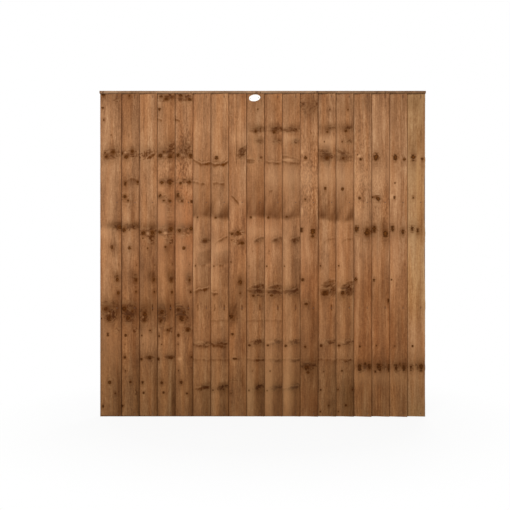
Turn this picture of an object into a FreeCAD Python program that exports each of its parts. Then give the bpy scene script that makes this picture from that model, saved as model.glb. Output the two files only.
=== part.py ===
"""Closeboard fence panel: feather-edge boards lapped on a batten frame, under a capping strip.

Millimetres, +Z up. The boards' faces look towards -Y, and +X is to the right of someone who faces them.
The origin is at the middle of the foot, in width and in thickness. Boards are counted from the left.
"""
import FreeCAD, Part
import math
import os
import Sketcher

# Driving dimensions: alias, value, what it measures
DIMENSIONS = [
    ("panel_width", 1828, "from end batten to end batten, outside"),
    ("panel_height", 1828, "from the foot to the top of the cap"),
    ("board_count", 18, "feather-edge boards"),
    ("board_width", 120, "thin edge to thick edge"),
    ("board_thin", 4.5, "thickness at the left edge, which the next board hides"),
    ("board_thick", 11, "thickness at the right edge, which shows"),
    ("board_inset", 2, "outermost board edge to the batten's outside"),
    ("lap_clearance", 0.15, "between a board's back arris and the face it laps"),
    ("foot_run_out", 5, "how much shorter the first board is than the last, at the foot"),
    ("cap_width", 46, "front to back"),
    ("cap_thick", 14, "height of the capping strip"),
    ("cap_overhang", 4, "cap front to the foremost board edge"),
    ("cap_chamfer", 2, "on the cap's two long top arrises"),
    ("rail_count", 4, "rails from foot to cap, evenly spaced"),
    ("rail_height", 38, "face that the boards are nailed to"),
    ("rail_depth", 22, "front to back, the same for rails and end battens"),
    ("batten_width", 38, "upright end battens, across the panel"),
    ("nail_shank", 2.6, "board and cap nails, across the shank"),
    ("nail_head", 6, "board and cap nails, across the head"),
    ("nail_head_thick", 1.2, "board and cap nails"),
    ("nail_sink", 0.2, "head below the wood's face"),
    ("nail_clear", 5, "board nail to the hidden edge of the next board"),
    ("nail_cover", 2, "wood left behind a board nail's point"),
    ("frame_nail_shank", 3, "nails through the end battens"),
    ("frame_nail_head", 7, "nails through the end battens"),
    ("frame_nail_bite", 30, "into the end of the rail"),
    ("cap_nail_count", 7, "nails down through the cap"),
    ("cap_nail_stop", 4, "cap nail's point above the line of the board nails"),
    ("cap_nail_clear", 12, "outermost cap nail to the point of the frame nails"),
    ("tag_board", 9, "the board that carries the tag"),
    ("tag_length", 64, "oval tag, long axis"),
    ("tag_height", 38, "oval tag, short axis"),
    ("tag_thick", 1.5, "oval tag"),
    ("tag_along", 65, "thin edge of its board to the middle of the tag"),
    ("tag_drop", 24, "underside of the cap to the middle of the tag"),
    ("tag_turn", 7, "degrees, right end up"),
    ("tag_pin_edge", 9, "end of the tag to its pin"),
    ("tag_pin_shank", 1.4, "pins that hold the tag"),
    ("tag_pin_head", 3.6, "pins that hold the tag"),
    ("tag_pin_head_thick", 0.7, "pins that hold the tag"),
    ("tag_pin_bite", 4, "into the board"),
]
RAIL_NAMES = {0: "bottom_rail", 1: "lower_rail", 2: "upper_rail", 3: "top_rail"}
SHANK_SIDES = 4
HEAD_SIDES = 8

X_AXIS = FreeCAD.Vector(1, 0, 0)
Y_AXIS = FreeCAD.Vector(0, 1, 0)
Z_AXIS = FreeCAD.Vector(0, 0, 1)
# A nail is drawn point up. These turn it to point into the panel, to the right, to the left and down.
INTO_PANEL = FreeCAD.Rotation(X_AXIS, -90)
TO_RIGHT = FreeCAD.Rotation(Y_AXIS, 90)
TO_LEFT = FreeCAD.Rotation(Y_AXIS, -90)
DOWN = FreeCAD.Rotation(X_AXIS, 180)

doc = FreeCAD.newDocument("closeboard_panel")
sheet = doc.addObject("Spreadsheet::Sheet", "sizes")
for row, (alias, value, meaning) in enumerate(DIMENSIONS, start=1):
    sheet.set(f"A{row}", meaning)
    sheet.set(f"B{row}", str(value))
    sheet.setAlias(f"B{row}", alias)
doc.recompute()


def size(alias):
    """A driving dimension, read from the sheet."""
    return float(sheet.get(alias))


def bind(thing, **expressions):
    """Tie properties to expressions on the sheet."""
    for name, expression in expressions.items():
        thing.setExpression(name, expression)


def placed(x, y, z, rotation=FreeCAD.Rotation()):
    return FreeCAD.Placement(FreeCAD.Vector(x, y, z), rotation)


# Lap of the boards

BOARDS = int(size("board_count"))
RAILS = int(size("rail_count"))
taper = math.atan((size("board_thick") - size("board_thin")) / size("board_width"))
board_span = size("panel_width") - 2 * size("board_inset")
pitch = (board_span - size("board_width")) / (BOARDS - 1)


def lapped_tilt(next_tilt):
    """Tilt of a board that lies on its neighbour.

    The board's thin back arris stays on the rails, and its thick back arris comes down on the neighbour's
    sloping face. In plan, seen from the board's own thin arris, that face passes the neighbour's thin front
    arris (edge_x forward edge_y) at the angle slope, and the thick arris lies lap_clearance off that line.
    """
    slope = next_tilt + taper
    edge_x = pitch - size("board_thin") * math.sin(next_tilt)
    edge_y = size("board_thin") * math.cos(next_tilt)
    off_line = size("lap_clearance") + edge_y * math.cos(slope) - edge_x * math.sin(slope)
    return slope + math.asin(off_line / size("board_width"))


# The last board lies flat on the rails, and each board before it is tilted by the one that it laps.
tilts = [0.0]
while len(tilts) < BOARDS:
    tilts.insert(0, lapped_tilt(tilts[0]))

stack = max(
    size("board_width") * math.sin(tilt) + size("board_thick") * math.cos(tilt)
    for tilt in tilts
)
rail_face = stack + size("cap_overhang") - size("cap_width") / 2
cap_foot = size("panel_height") - size("cap_thick")


def board_left(index):
    """X of a board's thin back arris."""
    return index * pitch - board_span / 2


def board_foot(index):
    """Z of a board's lower end: the foot line runs out towards the first board."""
    return size("foot_run_out") * (BOARDS - 1 - index) / (BOARDS - 1)


def face_y(index, x):
    """Y of a board's sloping face at x."""
    edge_x = board_left(index) - size("board_thin") * math.sin(tilts[index])
    edge_y = rail_face - size("board_thin") * math.cos(tilts[index])
    return edge_y - (x - edge_x) * math.tan(tilts[index] + taper)


def rail_foot(level):
    """Z of a rail's underside: the lowest stands on the foot line and the highest meets the cap."""
    return level * (cap_foot - size("rail_height")) / (RAILS - 1)


def nail_line(level):
    """Z of a rail's row of board nails, at mid-height of the rail."""
    return rail_foot(level) + size("rail_height") / 2


# Nails

PITCH = "((sizes.panel_width - 2 * sizes.board_inset - sizes.board_width) / (sizes.board_count - 1))"
THICK_AT_HEAD = (
    "(sizes.board_thin + (sizes.board_thick - sizes.board_thin)"
    f" * ({PITCH} - sizes.nail_clear - sizes.nail_head / 2) / sizes.board_width)"
)
BOARD_NAIL_LENGTH = f"{THICK_AT_HEAD} - sizes.nail_sink + sizes.rail_depth - sizes.nail_cover"
FRAME_NAIL_LENGTH = "sizes.batten_width - sizes.nail_sink + sizes.frame_nail_bite"
CAP_NAIL_LENGTH = "sizes.cap_thick - sizes.nail_sink + sizes.rail_height / 2 - sizes.cap_nail_stop"
TAG_PIN_LENGTH = "sizes.tag_pin_head_thick + sizes.tag_thick + sizes.tag_pin_bite"


def nail(name, head, head_thick, shank, length, mouth="0"):
    """One nail, point up, with the face of its head at the origin, drawn with few sides.

    With a mouth, the head runs that much further out: the space that the nail and its driver take.
    """
    head_prism = doc.addObject("Part::Prism", name + "_head")
    head_prism.Polygon = HEAD_SIDES
    bind(head_prism, Circumradius=f"{head} / 2", Height=f"{head_thick} + {mouth}")
    bind(head_prism, **{"Placement.Base.z": f"-({mouth})"})
    shank_prism = doc.addObject("Part::Prism", name + "_shank")
    shank_prism.Polygon = SHANK_SIDES
    bind(shank_prism, Circumradius=f"{shank} / 2", Height=length)
    whole = doc.addObject("Part::Fuse", name)
    whole.Base = head_prism
    whole.Tool = shank_prism
    return whole


board_nail_sizes = ("sizes.nail_head", "sizes.nail_head_thick", "sizes.nail_shank", BOARD_NAIL_LENGTH)
cap_nail_sizes = ("sizes.nail_head", "sizes.nail_head_thick", "sizes.nail_shank", CAP_NAIL_LENGTH)
frame_nail_sizes = (
    "sizes.frame_nail_head", "sizes.nail_head_thick", "sizes.frame_nail_shank", FRAME_NAIL_LENGTH
)
tag_pin_sizes = ("sizes.tag_pin_head", "sizes.tag_pin_head_thick", "sizes.tag_pin_shank", TAG_PIN_LENGTH)
board_nail = nail("board_nail", *board_nail_sizes)
board_bore = nail("board_bore", *board_nail_sizes, mouth="sizes.nail_head")
cap_nail = nail("cap_nail", *cap_nail_sizes)
cap_bore = nail("cap_bore", *cap_nail_sizes, mouth="sizes.nail_head")
frame_nail = nail("frame_nail", *frame_nail_sizes)
frame_bore = nail("frame_bore", *frame_nail_sizes, mouth="sizes.frame_nail_head")
tag_pin = nail("tag_pin", *tag_pin_sizes)
doc.recompute()


def copies(template, placements):
    """Separate copies of a template's solid, one at each placement."""
    shapes = []
    for placement in placements:
        shape = template.Shape.copy()
        shape.Placement = placement
        shapes.append(shape)
    return shapes


def group(label, shapes):
    """Separate solids under one name."""
    feature = doc.addObject("Part::Feature", label)
    feature.Shape = Part.makeCompound(shapes)
    feature.Label = label
    return feature


def bored(label, blank, shapes):
    """A blank with the given nail spaces cut out of it."""
    cut = doc.addObject("Part::Cut", label)
    cut.Base = blank
    cut.Tool = group(label + "_bores", shapes)
    cut.Label = label
    return cut


def board_nail_place(index, level):
    """A board nail stands clear of the next board's hidden edge, its head just under the sloping face."""
    x = board_left(index) + pitch - size("nail_clear")
    y = face_y(index, x - size("nail_head") / 2) + size("nail_sink")
    return placed(x, y, nail_line(level), INTO_PANEL)


mid_depth = rail_face + size("rail_depth") / 2
half_width = size("panel_width") / 2


def frame_nail_places(level, side):
    """Two nails through an end batten (side -1 left, 1 right) into a rail, above and below its middle."""
    head_x = side * (half_width - size("nail_sink"))
    turn = TO_LEFT if side > 0 else TO_RIGHT
    rise = size("rail_height") / 4
    return [placed(head_x, mid_depth, nail_line(level) + step, turn) for step in (-rise, rise)]


def cap_nail_places():
    """Cap nails, evenly spaced between the points of the frame nails."""
    reach = half_width - size("batten_width") - size("frame_nail_bite") - size("cap_nail_clear")
    count = int(size("cap_nail_count"))
    head_z = size("panel_height") - size("nail_sink")
    return [placed(reach * (2 * step / (count - 1) - 1), mid_depth, head_z, DOWN) for step in range(count)]


# Feather-edge boards


def origin_plane(body, role):
    return next(plane for plane in body.Origin.OriginFeatures if plane.Role == role)


def feather_edge_blank(index):
    """One board before nailing: a tapered section, thin edge left, carried up from the foot."""
    name = f"feather_edge_{index + 1:02d}"
    width, thin, thick = size("board_width"), size("board_thin"), size("board_thick")
    body = doc.addObject("PartDesign::Body", name)
    sketch = body.newObject("Sketcher::SketchObject", name + "_section")
    sketch.AttachmentSupport = [(origin_plane(body, "XY_Plane"), "")]
    sketch.MapMode = "FlatFace"
    corners = [(0, 0), (width, 0), (width, -thick), (0, -thin)]
    points = [FreeCAD.Vector(x, y, 0) for x, y in corners]
    sides = [Part.LineSegment(start, end) for start, end in zip(points, points[1:] + points[:1])]
    back, thick_edge, face, thin_edge = sketch.addGeometry(sides, False)
    start, end, axes = 1, 2, -1
    for first, second in ((back, thick_edge), (thick_edge, face), (face, thin_edge), (thin_edge, back)):
        sketch.addConstraint(Sketcher.Constraint("Coincident", first, end, second, start))
    sketch.addConstraint(Sketcher.Constraint("Coincident", back, start, axes, start))
    sketch.addConstraint(Sketcher.Constraint("Horizontal", back))
    sketch.addConstraint(Sketcher.Constraint("Vertical", thick_edge))
    sketch.addConstraint(Sketcher.Constraint("Vertical", thin_edge))
    for side, alias in ((back, "board_width"), (thick_edge, "board_thick"), (thin_edge, "board_thin")):
        constraint = sketch.addConstraint(Sketcher.Constraint("Distance", side, size(alias)))
        sketch.renameConstraint(constraint, alias)
        sketch.setExpression(f"Constraints.{alias}", f"sizes.{alias}")
    pad = body.newObject("PartDesign::Pad", name + "_length")
    pad.Profile = sketch
    run_out = f"sizes.foot_run_out * {BOARDS - 1 - index} / (sizes.board_count - 1)"
    bind(pad, Length=f"sizes.panel_height - sizes.cap_thick - {run_out}")
    tilt = FreeCAD.Rotation(Z_AXIS, -math.degrees(tilts[index]))
    body.Placement = placed(board_left(index), rail_face, board_foot(index), tilt)
    return body


# Oval tag, on the sloping face of its board

tag_index = int(size("tag_board")) - 1
tag_slope = tilts[tag_index] + taper
tag_x = board_left(tag_index) + size("tag_along")
tag_frame = FreeCAD.Placement(
    FreeCAD.Vector(tag_x, face_y(tag_index, tag_x), cap_foot - size("tag_drop")),
    FreeCAD.Rotation(Z_AXIS, -math.degrees(tag_slope))
    * FreeCAD.Rotation(X_AXIS, 90)
    * FreeCAD.Rotation(Z_AXIS, size("tag_turn")),
)


def tag_pin_places():
    """A pin near each end of the tag's long axis, head on the tag's face, point into the board."""
    reach = size("tag_length") / 2 - size("tag_pin_edge")
    head_face = size("tag_thick") + size("tag_pin_head_thick")
    return [tag_frame * placed(side * reach, 0, head_face, DOWN) for side in (-1, 1)]


def oval_tag():
    outline = doc.addObject("Part::Ellipse", "tag_outline")
    bind(outline, MajorRadius="sizes.tag_length / 2", MinorRadius="sizes.tag_height / 2")
    blank = doc.addObject("Part::Extrusion", "tag_blank")
    blank.Base = outline
    blank.DirMode = "Custom"
    blank.Dir = tag_frame.Rotation.multVec(Z_AXIS)
    blank.Solid = True
    bind(blank, LengthFwd="sizes.tag_thick")
    outline.Placement = tag_frame
    return bored("blank_oval_tag", blank, copies(tag_pin, tag_pin_places()))


# Cap, rails and end battens


def cap():
    """Capping strip, with its long top arrises taken off so that rain runs away."""
    body = doc.addObject("PartDesign::Body", "cap_blank")
    strip = body.newObject("PartDesign::AdditiveBox", "cap_strip")
    bind(strip, Length="sizes.panel_width", Width="sizes.cap_width", Height="sizes.cap_thick")
    doc.recompute()
    top = size("cap_thick")
    long_top_arrises = [
        f"Edge{number}"
        for number, edge in enumerate(strip.Shape.Edges, start=1)
        if math.isclose(edge.BoundBox.ZMin, top)
        and math.isclose(edge.BoundBox.XLength, size("panel_width"))
    ]
    chamfer = body.newObject("PartDesign::Chamfer", "cap_chamfer")
    chamfer.Base = (strip, long_top_arrises)
    bind(chamfer, Size="sizes.cap_chamfer")
    body.Placement = placed(-half_width, -size("cap_width") / 2, cap_foot)
    return bored("cap_rail", body, copies(cap_bore, cap_nail_places()))


def rail(level):
    """One rail, butted between the end battens."""
    name = RAIL_NAMES.get(level, f"rail_{level}")
    blank = doc.addObject("Part::Box", name + "_blank")
    bind(blank, Length="sizes.panel_width - 2 * sizes.batten_width")
    bind(blank, Width="sizes.rail_depth", Height="sizes.rail_height")
    blank.Placement = placed(size("batten_width") - half_width, rail_face, rail_foot(level))
    shapes = copies(board_nail, [board_nail_place(index, level) for index in range(BOARDS)])
    shapes += copies(frame_nail, frame_nail_places(level, -1) + frame_nail_places(level, 1))
    if level == RAILS - 1:
        shapes += copies(cap_nail, cap_nail_places())
    return bored(name, blank, shapes)


def end_batten(label, side):
    """An upright batten at one end, with the heads of the frame nails sunk in its outer face."""
    blank = doc.addObject("Part::Box", label + "_blank")
    bind(blank, Length="sizes.batten_width", Width="sizes.rail_depth")
    bind(blank, Height="sizes.panel_height - sizes.cap_thick")
    left = -half_width if side < 0 else half_width - size("batten_width")
    blank.Placement = placed(left, rail_face, 0)
    outer_board = 0 if side < 0 else BOARDS - 1
    shapes = []
    for level in range(RAILS):
        shapes += copies(frame_bore, frame_nail_places(level, side))
        shapes += copies(board_nail, [board_nail_place(outer_board, level)])
    return bored(label, blank, shapes)


def board(index):
    """A nailed board: one nail space at each rail, and the pins' holes where it carries the tag."""
    shapes = copies(board_bore, [board_nail_place(index, level) for level in range(RAILS)])
    if index == tag_index:
        shapes += copies(tag_pin, tag_pin_places())
    return bored(f"board_{index + 1:02d}", feather_edge_blank(index), shapes)


sub_parts = [board(index) for index in range(BOARDS)]
sub_parts += [rail(level) for level in range(RAILS)]
sub_parts += [end_batten("left_end_batten", -1), end_batten("right_end_batten", 1), cap(), oval_tag()]
for level in range(RAILS):
    row = copies(board_nail, [board_nail_place(index, level) for index in range(BOARDS)])
    sub_parts.append(group(RAIL_NAMES.get(level, f"rail_{level}") + "_nails", row))
frame_rows = [frame_nail_places(level, side) for level in range(RAILS) for side in (-1, 1)]
sub_parts.append(group("frame_nails", copies(frame_nail, sum(frame_rows, []))))
sub_parts.append(group("cap_nails", copies(cap_nail, cap_nail_places())))
sub_parts.append(group("tag_pins", copies(tag_pin, tag_pin_places())))
doc.recompute()

for thing in doc.Objects:
    if {"Invalid", "Error"} & set(thing.State):
        raise RuntimeError(f"{thing.Label} did not build: {thing.State}")
for sub_part in sub_parts:
    if sub_part.Shape.isNull() or not sub_part.Shape.isValid():
        raise RuntimeError(f"{sub_part.Label} has no valid shape")
    if sub_part.TypeId == "Part::Cut" and sub_part.Shape.Volume >= sub_part.Base.Shape.Volume:
        raise RuntimeError(f"{sub_part.Label} was not bored")

os.makedirs("parts", exist_ok=True)
for sub_part in sub_parts:
    sub_part.Shape.exportStep(f"parts/{sub_part.Label}.step")
print(f"{len(sub_parts)} sub-parts, steepest board {math.degrees(max(tilts)):.2f} degrees, stack {stack:.2f} mm")
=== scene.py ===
"""Closeboard fence panel: the sawn, dip-treated timber over its solids, with nails and a blank tag.

Metres, in the frame of the solids: the boards' faces look towards -Y, +X is to their right, +Z is up.
Timber is described in millimetres of across (from a board's thin edge) and along (up from its foot).
"""
import math

import bpy
import numpy as np
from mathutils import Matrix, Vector


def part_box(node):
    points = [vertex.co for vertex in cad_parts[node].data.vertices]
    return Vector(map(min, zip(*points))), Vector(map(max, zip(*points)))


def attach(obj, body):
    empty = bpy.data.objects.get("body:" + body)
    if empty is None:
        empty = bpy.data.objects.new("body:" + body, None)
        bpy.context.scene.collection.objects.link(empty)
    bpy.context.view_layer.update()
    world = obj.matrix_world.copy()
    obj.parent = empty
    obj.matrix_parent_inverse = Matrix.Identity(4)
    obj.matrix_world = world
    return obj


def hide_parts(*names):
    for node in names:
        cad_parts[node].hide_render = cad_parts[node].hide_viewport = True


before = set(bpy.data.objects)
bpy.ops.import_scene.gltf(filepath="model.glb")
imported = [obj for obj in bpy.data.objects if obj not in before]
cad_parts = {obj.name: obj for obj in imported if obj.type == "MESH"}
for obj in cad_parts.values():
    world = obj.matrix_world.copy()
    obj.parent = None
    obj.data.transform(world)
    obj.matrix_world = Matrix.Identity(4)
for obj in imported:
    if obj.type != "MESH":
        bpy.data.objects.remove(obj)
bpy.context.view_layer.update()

MM = 0.001


# Colour and nodes

MATH = "ShaderNodeMath"
VECTOR = "ShaderNodeVectorMath"
NOISE = "ShaderNodeTexNoise"
RANGE = "ShaderNodeMapRange"
MIX = "ShaderNodeMix"
RAMP = "ShaderNodeValToRGB"
BUMP = "ShaderNodeBump"
ATTRIBUTE = "ShaderNodeAttribute"
COORDINATES = "ShaderNodeTexCoord"
SPLIT_COLOUR = "ShaderNodeSeparateColor"
SPLIT_VECTOR = "ShaderNodeSeparateXYZ"
JOIN_VECTOR = "ShaderNodeCombineXYZ"
PRINCIPLED = "ShaderNodeBsdfPrincipled"
SURFACE = "ShaderNodeOutputMaterial"
# Where a colour mix takes its factor and its two colours
FACTOR, FIRST, SECOND = 0, 6, 7


def linear(hex_colour):
    """An sRGB hex colour as linear RGBA, by the sRGB transfer curve."""
    parts = np.array([int(hex_colour[i:i + 2], 16) for i in (1, 3, 5)]) / 255
    low = parts / 12.92
    high = ((parts + 0.055) / 1.055) ** 2.4
    return (*np.where(parts <= 0.04045, low, high), 1.0)


def add(tree, kind, inputs=None, stops=None, **settings):
    """Add a node: settings are its properties, inputs its values or links, stops its ramp's colours."""
    made = tree.nodes.new(kind)
    for name, value in settings.items():
        setattr(made, name, value)
    for key, value in (inputs or {}).items():
        if isinstance(value, bpy.types.Node):
            value = value.outputs[0]
        if isinstance(value, bpy.types.NodeSocket):
            tree.links.new(value, made.inputs[key])
        else:
            made.inputs[key].default_value = value
    if stops:
        elements = made.color_ramp.elements
        while len(elements) < len(stops):
            elements.new(1.0)
        for element, (place, colour) in zip(elements, stops):
            element.position = place
            element.color = colour
    return made


def new_material(name):
    """A material with an empty node tree."""
    material = bpy.data.materials.new(name)
    material.use_nodes = True
    material.node_tree.nodes.clear()
    return material


# Numbers that vary smoothly or by chance


def wander(place, wavelength, seed):
    """A smooth wandering line within about -1 to 1: four sines with chance phases, each shorter than the
    last."""
    chance = np.random.default_rng(seed)
    total = np.zeros_like(place, dtype=float)
    for octave, share in enumerate((0.5, 0.28, 0.14, 0.08)):
        stretch = wavelength / 1.83 ** octave
        total = total + share * np.sin(2 * math.pi * (place / stretch + chance.random()))
    return total


def smooth_step(value, low, high):
    """Nought up to low, one from high on, and three squares less two cubes of the part between."""
    part = np.clip((value - low) / (high - low), 0, 1)
    return part * part * (3 - 2 * part)


# Meshes


def put_mesh(name, points, faces, material):
    """A mesh from a point array and a list of face arrays, each with its own number of corners."""
    mesh = bpy.data.meshes.new(name)
    corners = np.concatenate([face.ravel() for face in faces])
    counts = np.concatenate([np.full(len(face), face.shape[1]) for face in faces])
    starts = np.concatenate([[0], np.cumsum(counts)[:-1]])
    mesh.vertices.add(len(points))
    mesh.vertices.foreach_set("co", np.ascontiguousarray(points, dtype=np.float32).ravel())
    mesh.loops.add(len(corners))
    mesh.loops.foreach_set("vertex_index", corners.astype(np.int32))
    mesh.polygons.add(len(counts))
    mesh.polygons.foreach_set("loop_start", starts.astype(np.int32))
    mesh.polygons.foreach_set("use_smooth", np.ones(len(counts), dtype=bool))
    mesh.update(calc_edges=True)
    mesh.validate()
    mesh.materials.append(material)
    piece = bpy.data.objects.new(name, mesh)
    bpy.context.scene.collection.objects.link(piece)
    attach(piece, "root")
    return piece


def sharpen(mesh, is_ring):
    """Mark as sharp each edge whose two ends are both in a ring of points."""
    ends = np.empty(len(mesh.edges) * 2, dtype=np.int32)
    mesh.edges.foreach_get("vertices", ends)
    sharp = is_ring[ends.reshape(-1, 2)].all(axis=1)
    mesh.attributes.new("sharp_edge", "BOOLEAN", "EDGE").data.foreach_set("value", sharp)


def tube_faces(rows, columns):
    """Quads of a closed tube of rows by columns points, and the two flat ends."""
    row, column = np.meshgrid(np.arange(rows - 1), np.arange(columns), indexing="ij")
    here = row * columns + column
    beside = row * columns + (column + 1) % columns
    quads = np.stack([here, beside, beside + columns, here + columns], axis=-1)
    first_end = np.arange(columns)[::-1][None, :]
    last_end = (rows - 1) * columns + np.arange(columns)[None, :]
    return [quads.reshape(-1, 4), first_end, last_end]


def timber_piece(name, points, figure, tone, stain_and_lap_shade, stock, material):
    """A closed length of timber from a grid of points (rows along it by columns round it).

    figure holds the ring coordinate, the place along the grain and the distance to the nearest knot in knot
    radii. tone holds clots, shade, pale and curl. The stain is how much of a smooth red-brown lies over it,
    with painted shadow along the laps among it. stock is the seed, paleness, redness and strength of
    streaks, of the whole piece or at each point.
    """
    rows, columns = points.shape[:2]
    piece = put_mesh(name, points.reshape(-1, 3), tube_faces(rows, columns), material)
    mesh = piece.data
    is_ring = np.zeros(rows * columns, dtype=bool)
    is_ring[:columns] = True
    is_ring[-columns:] = True
    sharpen(mesh, is_ring)
    for key, kind, field, values in (
        ("figure", "FLOAT_VECTOR", "vector", figure.reshape(-1, 3)),
        ("tone", "FLOAT_COLOR", "color", tone.reshape(-1, 4)),
        ("stain_and_lap_shade", "FLOAT", "value", stain_and_lap_shade),
        ("stock", "FLOAT_COLOR", "color", np.broadcast_to(stock, (rows, columns, 4))),
    ):
        layer = mesh.attributes.new(key, kind, "POINT")
        layer.data.foreach_set(field, np.ascontiguousarray(values, dtype=np.float32).ravel())
    return piece


# Planks and their marks
#
# The boards were sawn from a few planks, so boards of one plank share their marks at the same heights.
# Sizes are in millimetres:
# knot: along, across, radius, height over width, depth of colour
# smudge: along, across, half width, half height, depth of colour, rise to the right
# shade, pale and curl: along, across, half width, half height, depth
# spike, a branch cut lengthwise: along and across of its left end, then of its right end, sag, depth
# lens, a branch cut at a slant: along, across, half length, half breadth, lean in degrees, depth
# patch of heartwood: along of its foot and head, across of its left border, rise to the right, depth

BOARDS = 18


class Plank:
    """Marks that the boards of one plank share."""

    def __init__(self, *boards):
        self.boards = boards
        kinds = ("knot", "smudge", "spike", "lens", "patch", "shade", "pale", "curl")
        self.marks = {kind: [] for kind in kinds}

    def mark(self, kind, *marks, on=None):
        """Add marks of one kind, on every board of the plank or on those named."""
        self.marks[kind] += [(sizes, on or self.boards) for sizes in marks]

    def of(self, kind, board):
        """The sizes of one board's marks of one kind."""
        return [sizes for sizes, boards in self.marks[kind] if board in boards]


def left_plank():
    """Boards 1 to 5: rich in whorls, with round black knots and a dark cluster a third of the way up."""
    plank = Plank(1, 2, 3, 4, 5)
    # Under the cap
    plank.mark("smudge", (1790, 74, 46, 24, 0.75, 0.2), on=(4, 5))
    plank.mark("shade", (1800, 70, 60, 30, 0.45), on=(1, 2, 4, 5))
    plank.mark("smudge", (1778, 94, 30, 12, 0.6, 0.1), on=(1,))
    plank.mark("knot", (1800, 40, 9, 0.8, 0.8), (1782, 68, 11, 0.7, 0.85), (1792, 104, 8, 0.8, 0.7),
               (1727, 29, 7, 1.3, 0.9), on=(4,))
    plank.mark("knot", (1806, 50, 9, 0.9, 0.85), (1782, 100, 12, 0.7, 0.85), on=(5,))
    plank.mark("knot", (1800, 66, 7, 1.1, 0.85), on=(2,))
    plank.mark("knot", (1804, 14, 9, 1.1, 0.8), (1736, 12, 7, 1.1, 0.85), (1669, 20, 6, 1.0, 0.85), on=(1,))
    plank.mark("spike", (1672, 18, 1662, 48, 0, 0.8), on=(4, 5))
    plank.mark("knot", (1579, 62, 2.6, 1.5, 0.9), on=(1, 2))
    plank.mark("lens", (1560, 62, 190, 2.6, 90, 0.4), (1250, 60, 150, 2.6, 90, 0.35),
               (1330, 74, 240, 2.2, 89, 0.25), on=(3,))
    # First whorl
    plank.mark("knot", (1488, 70, 10, 1.1, 0.85), (1460, 39, 13, 0.9, 0.85), (1480, 25, 6, 1.0, 0.7),
               on=(1,))
    plank.mark("knot", (1491, 79, 8, 1.1, 0.9), (1460, 48, 10, 0.9, 0.9), (1480, 25, 8, 1.0, 0.8), on=(2,))
    plank.mark("lens", (1474, 49, 16, 4, 88, 0.9), (1474, 60, 16, 4, 92, 0.9), (1463, 90, 26, 8, 30, 0.9),
               on=(3,))
    plank.mark("knot", (1466, 39, 12, 1.0, 0.9), (1486, 59, 8, 1.0, 0.8), (1463, 93, 14, 0.8, 0.85),
               on=(4,))
    plank.mark("knot", (1466, 39, 10, 1.0, 0.8), (1463, 110, 10, 1.1, 0.9), on=(5,))
    plank.mark("smudge", (1474, 66, 56, 30, 0.82, 0.15))
    plank.mark("shade", (1484, 64, 66, 46, 0.4))
    plank.mark("shade", (1530, 74, 50, 50, 0.4), on=(4, 5))
    plank.mark("smudge", (1520, 98, 22, 34, 0.5, 0.2), on=(4, 5))
    plank.mark("pale", (1483, 42, 8, 6, 0.8), on=(2,))
    plank.mark("pale", (1468, 66, 14, 8, 0.4), on=(4, 5))
    # Second
    plank.mark("spike", (1318, 44, 1320, 118, 16, 0.5), on=(2,))
    plank.mark("knot", (1308, 39, 9, 1.6, 0.75), (1314, 112, 7, 1.7, 0.7), on=(2,))
    plank.mark("shade", (1322, 78, 44, 22, 0.6), on=(2,))
    plank.mark("knot", (1311, 48, 10, 1.2, 0.85), (1312, 86, 9, 1.2, 0.85), (1210, 95, 8, 1.1, 0.8),
               on=(4,))
    plank.mark("knot", (1311, 50, 8, 1.2, 0.75), (1320, 101, 9, 1.1, 0.85), (1207, 113, 8, 1.1, 0.8),
               on=(5,))
    plank.mark("smudge", (1318, 74, 50, 18, 0.75, 0.0), on=(4, 5))
    plank.mark("shade", (1330, 78, 50, 24, 0.3), on=(4, 5))
    plank.mark("knot", (1242, 36, 11, 1.2, 0.72), (1212, 58, 7, 1.0, 0.8), on=(2, 4, 5))
    plank.mark("smudge", (1228, 46, 32, 28, 0.8, -0.3), on=(2, 4, 5))
    plank.mark("smudge", (1150, 86, 16, 70, 0.4, 0.0), on=(4,))
    plank.mark("curl", (1420, 60, 80, 240, 1.0), on=(5,))
    plank.mark("curl", (1400, 60, 90, 150, 0.45), on=(4,))
    # Third
    plank.mark("knot", (1062, 110, 11, 1.0, 0.85), on=(1,))
    plank.mark("knot", (1049, 31, 12, 1.1, 0.85), on=(2,))
    plank.mark("knot", (1029, 42, 11, 0.9, 0.9), (1034, 93, 11, 0.9, 0.9), (1000, 40, 6, 1.0, 0.6),
               (948, 68, 6, 1.0, 0.55), on=(3,))
    plank.mark("knot", (1038, 39, 11, 0.9, 0.85), (1055, 95, 10, 1.1, 0.85), on=(4,))
    plank.mark("knot", (1044, 39, 11, 0.9, 0.85), (1058, 110, 9, 1.2, 0.85), on=(5,))
    plank.mark("smudge", (1062, 92, 36, 18, 0.8, 0.1), on=(1,))
    plank.mark("smudge", (1062, 60, 56, 20, 0.8, 0.1), on=(2,))
    plank.mark("shade", (1070, 80, 70, 22, 0.6))
    plank.mark("shade", (1080, 90, 60, 22, 0.5), on=(1, 2))
    plank.mark("smudge", (1040, 70, 52, 26, 0.95, 0.0), on=(3, 4, 5))
    plank.mark("pale", (1030, 66, 9, 7, 0.7), on=(3, 4))
    plank.mark("smudge", (990, 88, 30, 22, 0.8, -0.2), on=(3, 4))
    plank.mark("knot", (951, 67, 7, 1.2, 1.0), on=(1, 2, 4, 5))
    # Pairs of black knots near the thick edge
    plank.mark("knot", (855, 104, 3, 1.3, 0.7), (768, 103, 7.5, 1.3, 0.95), (700, 104, 6, 1.3, 0.95))
    plank.mark("shade", (794, 92, 24, 32, 0.6))
    plank.mark("smudge", (785, 98, 18, 28, 0.35, 0.0), (735, 98, 18, 50, 0.25, 0.0))
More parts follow.
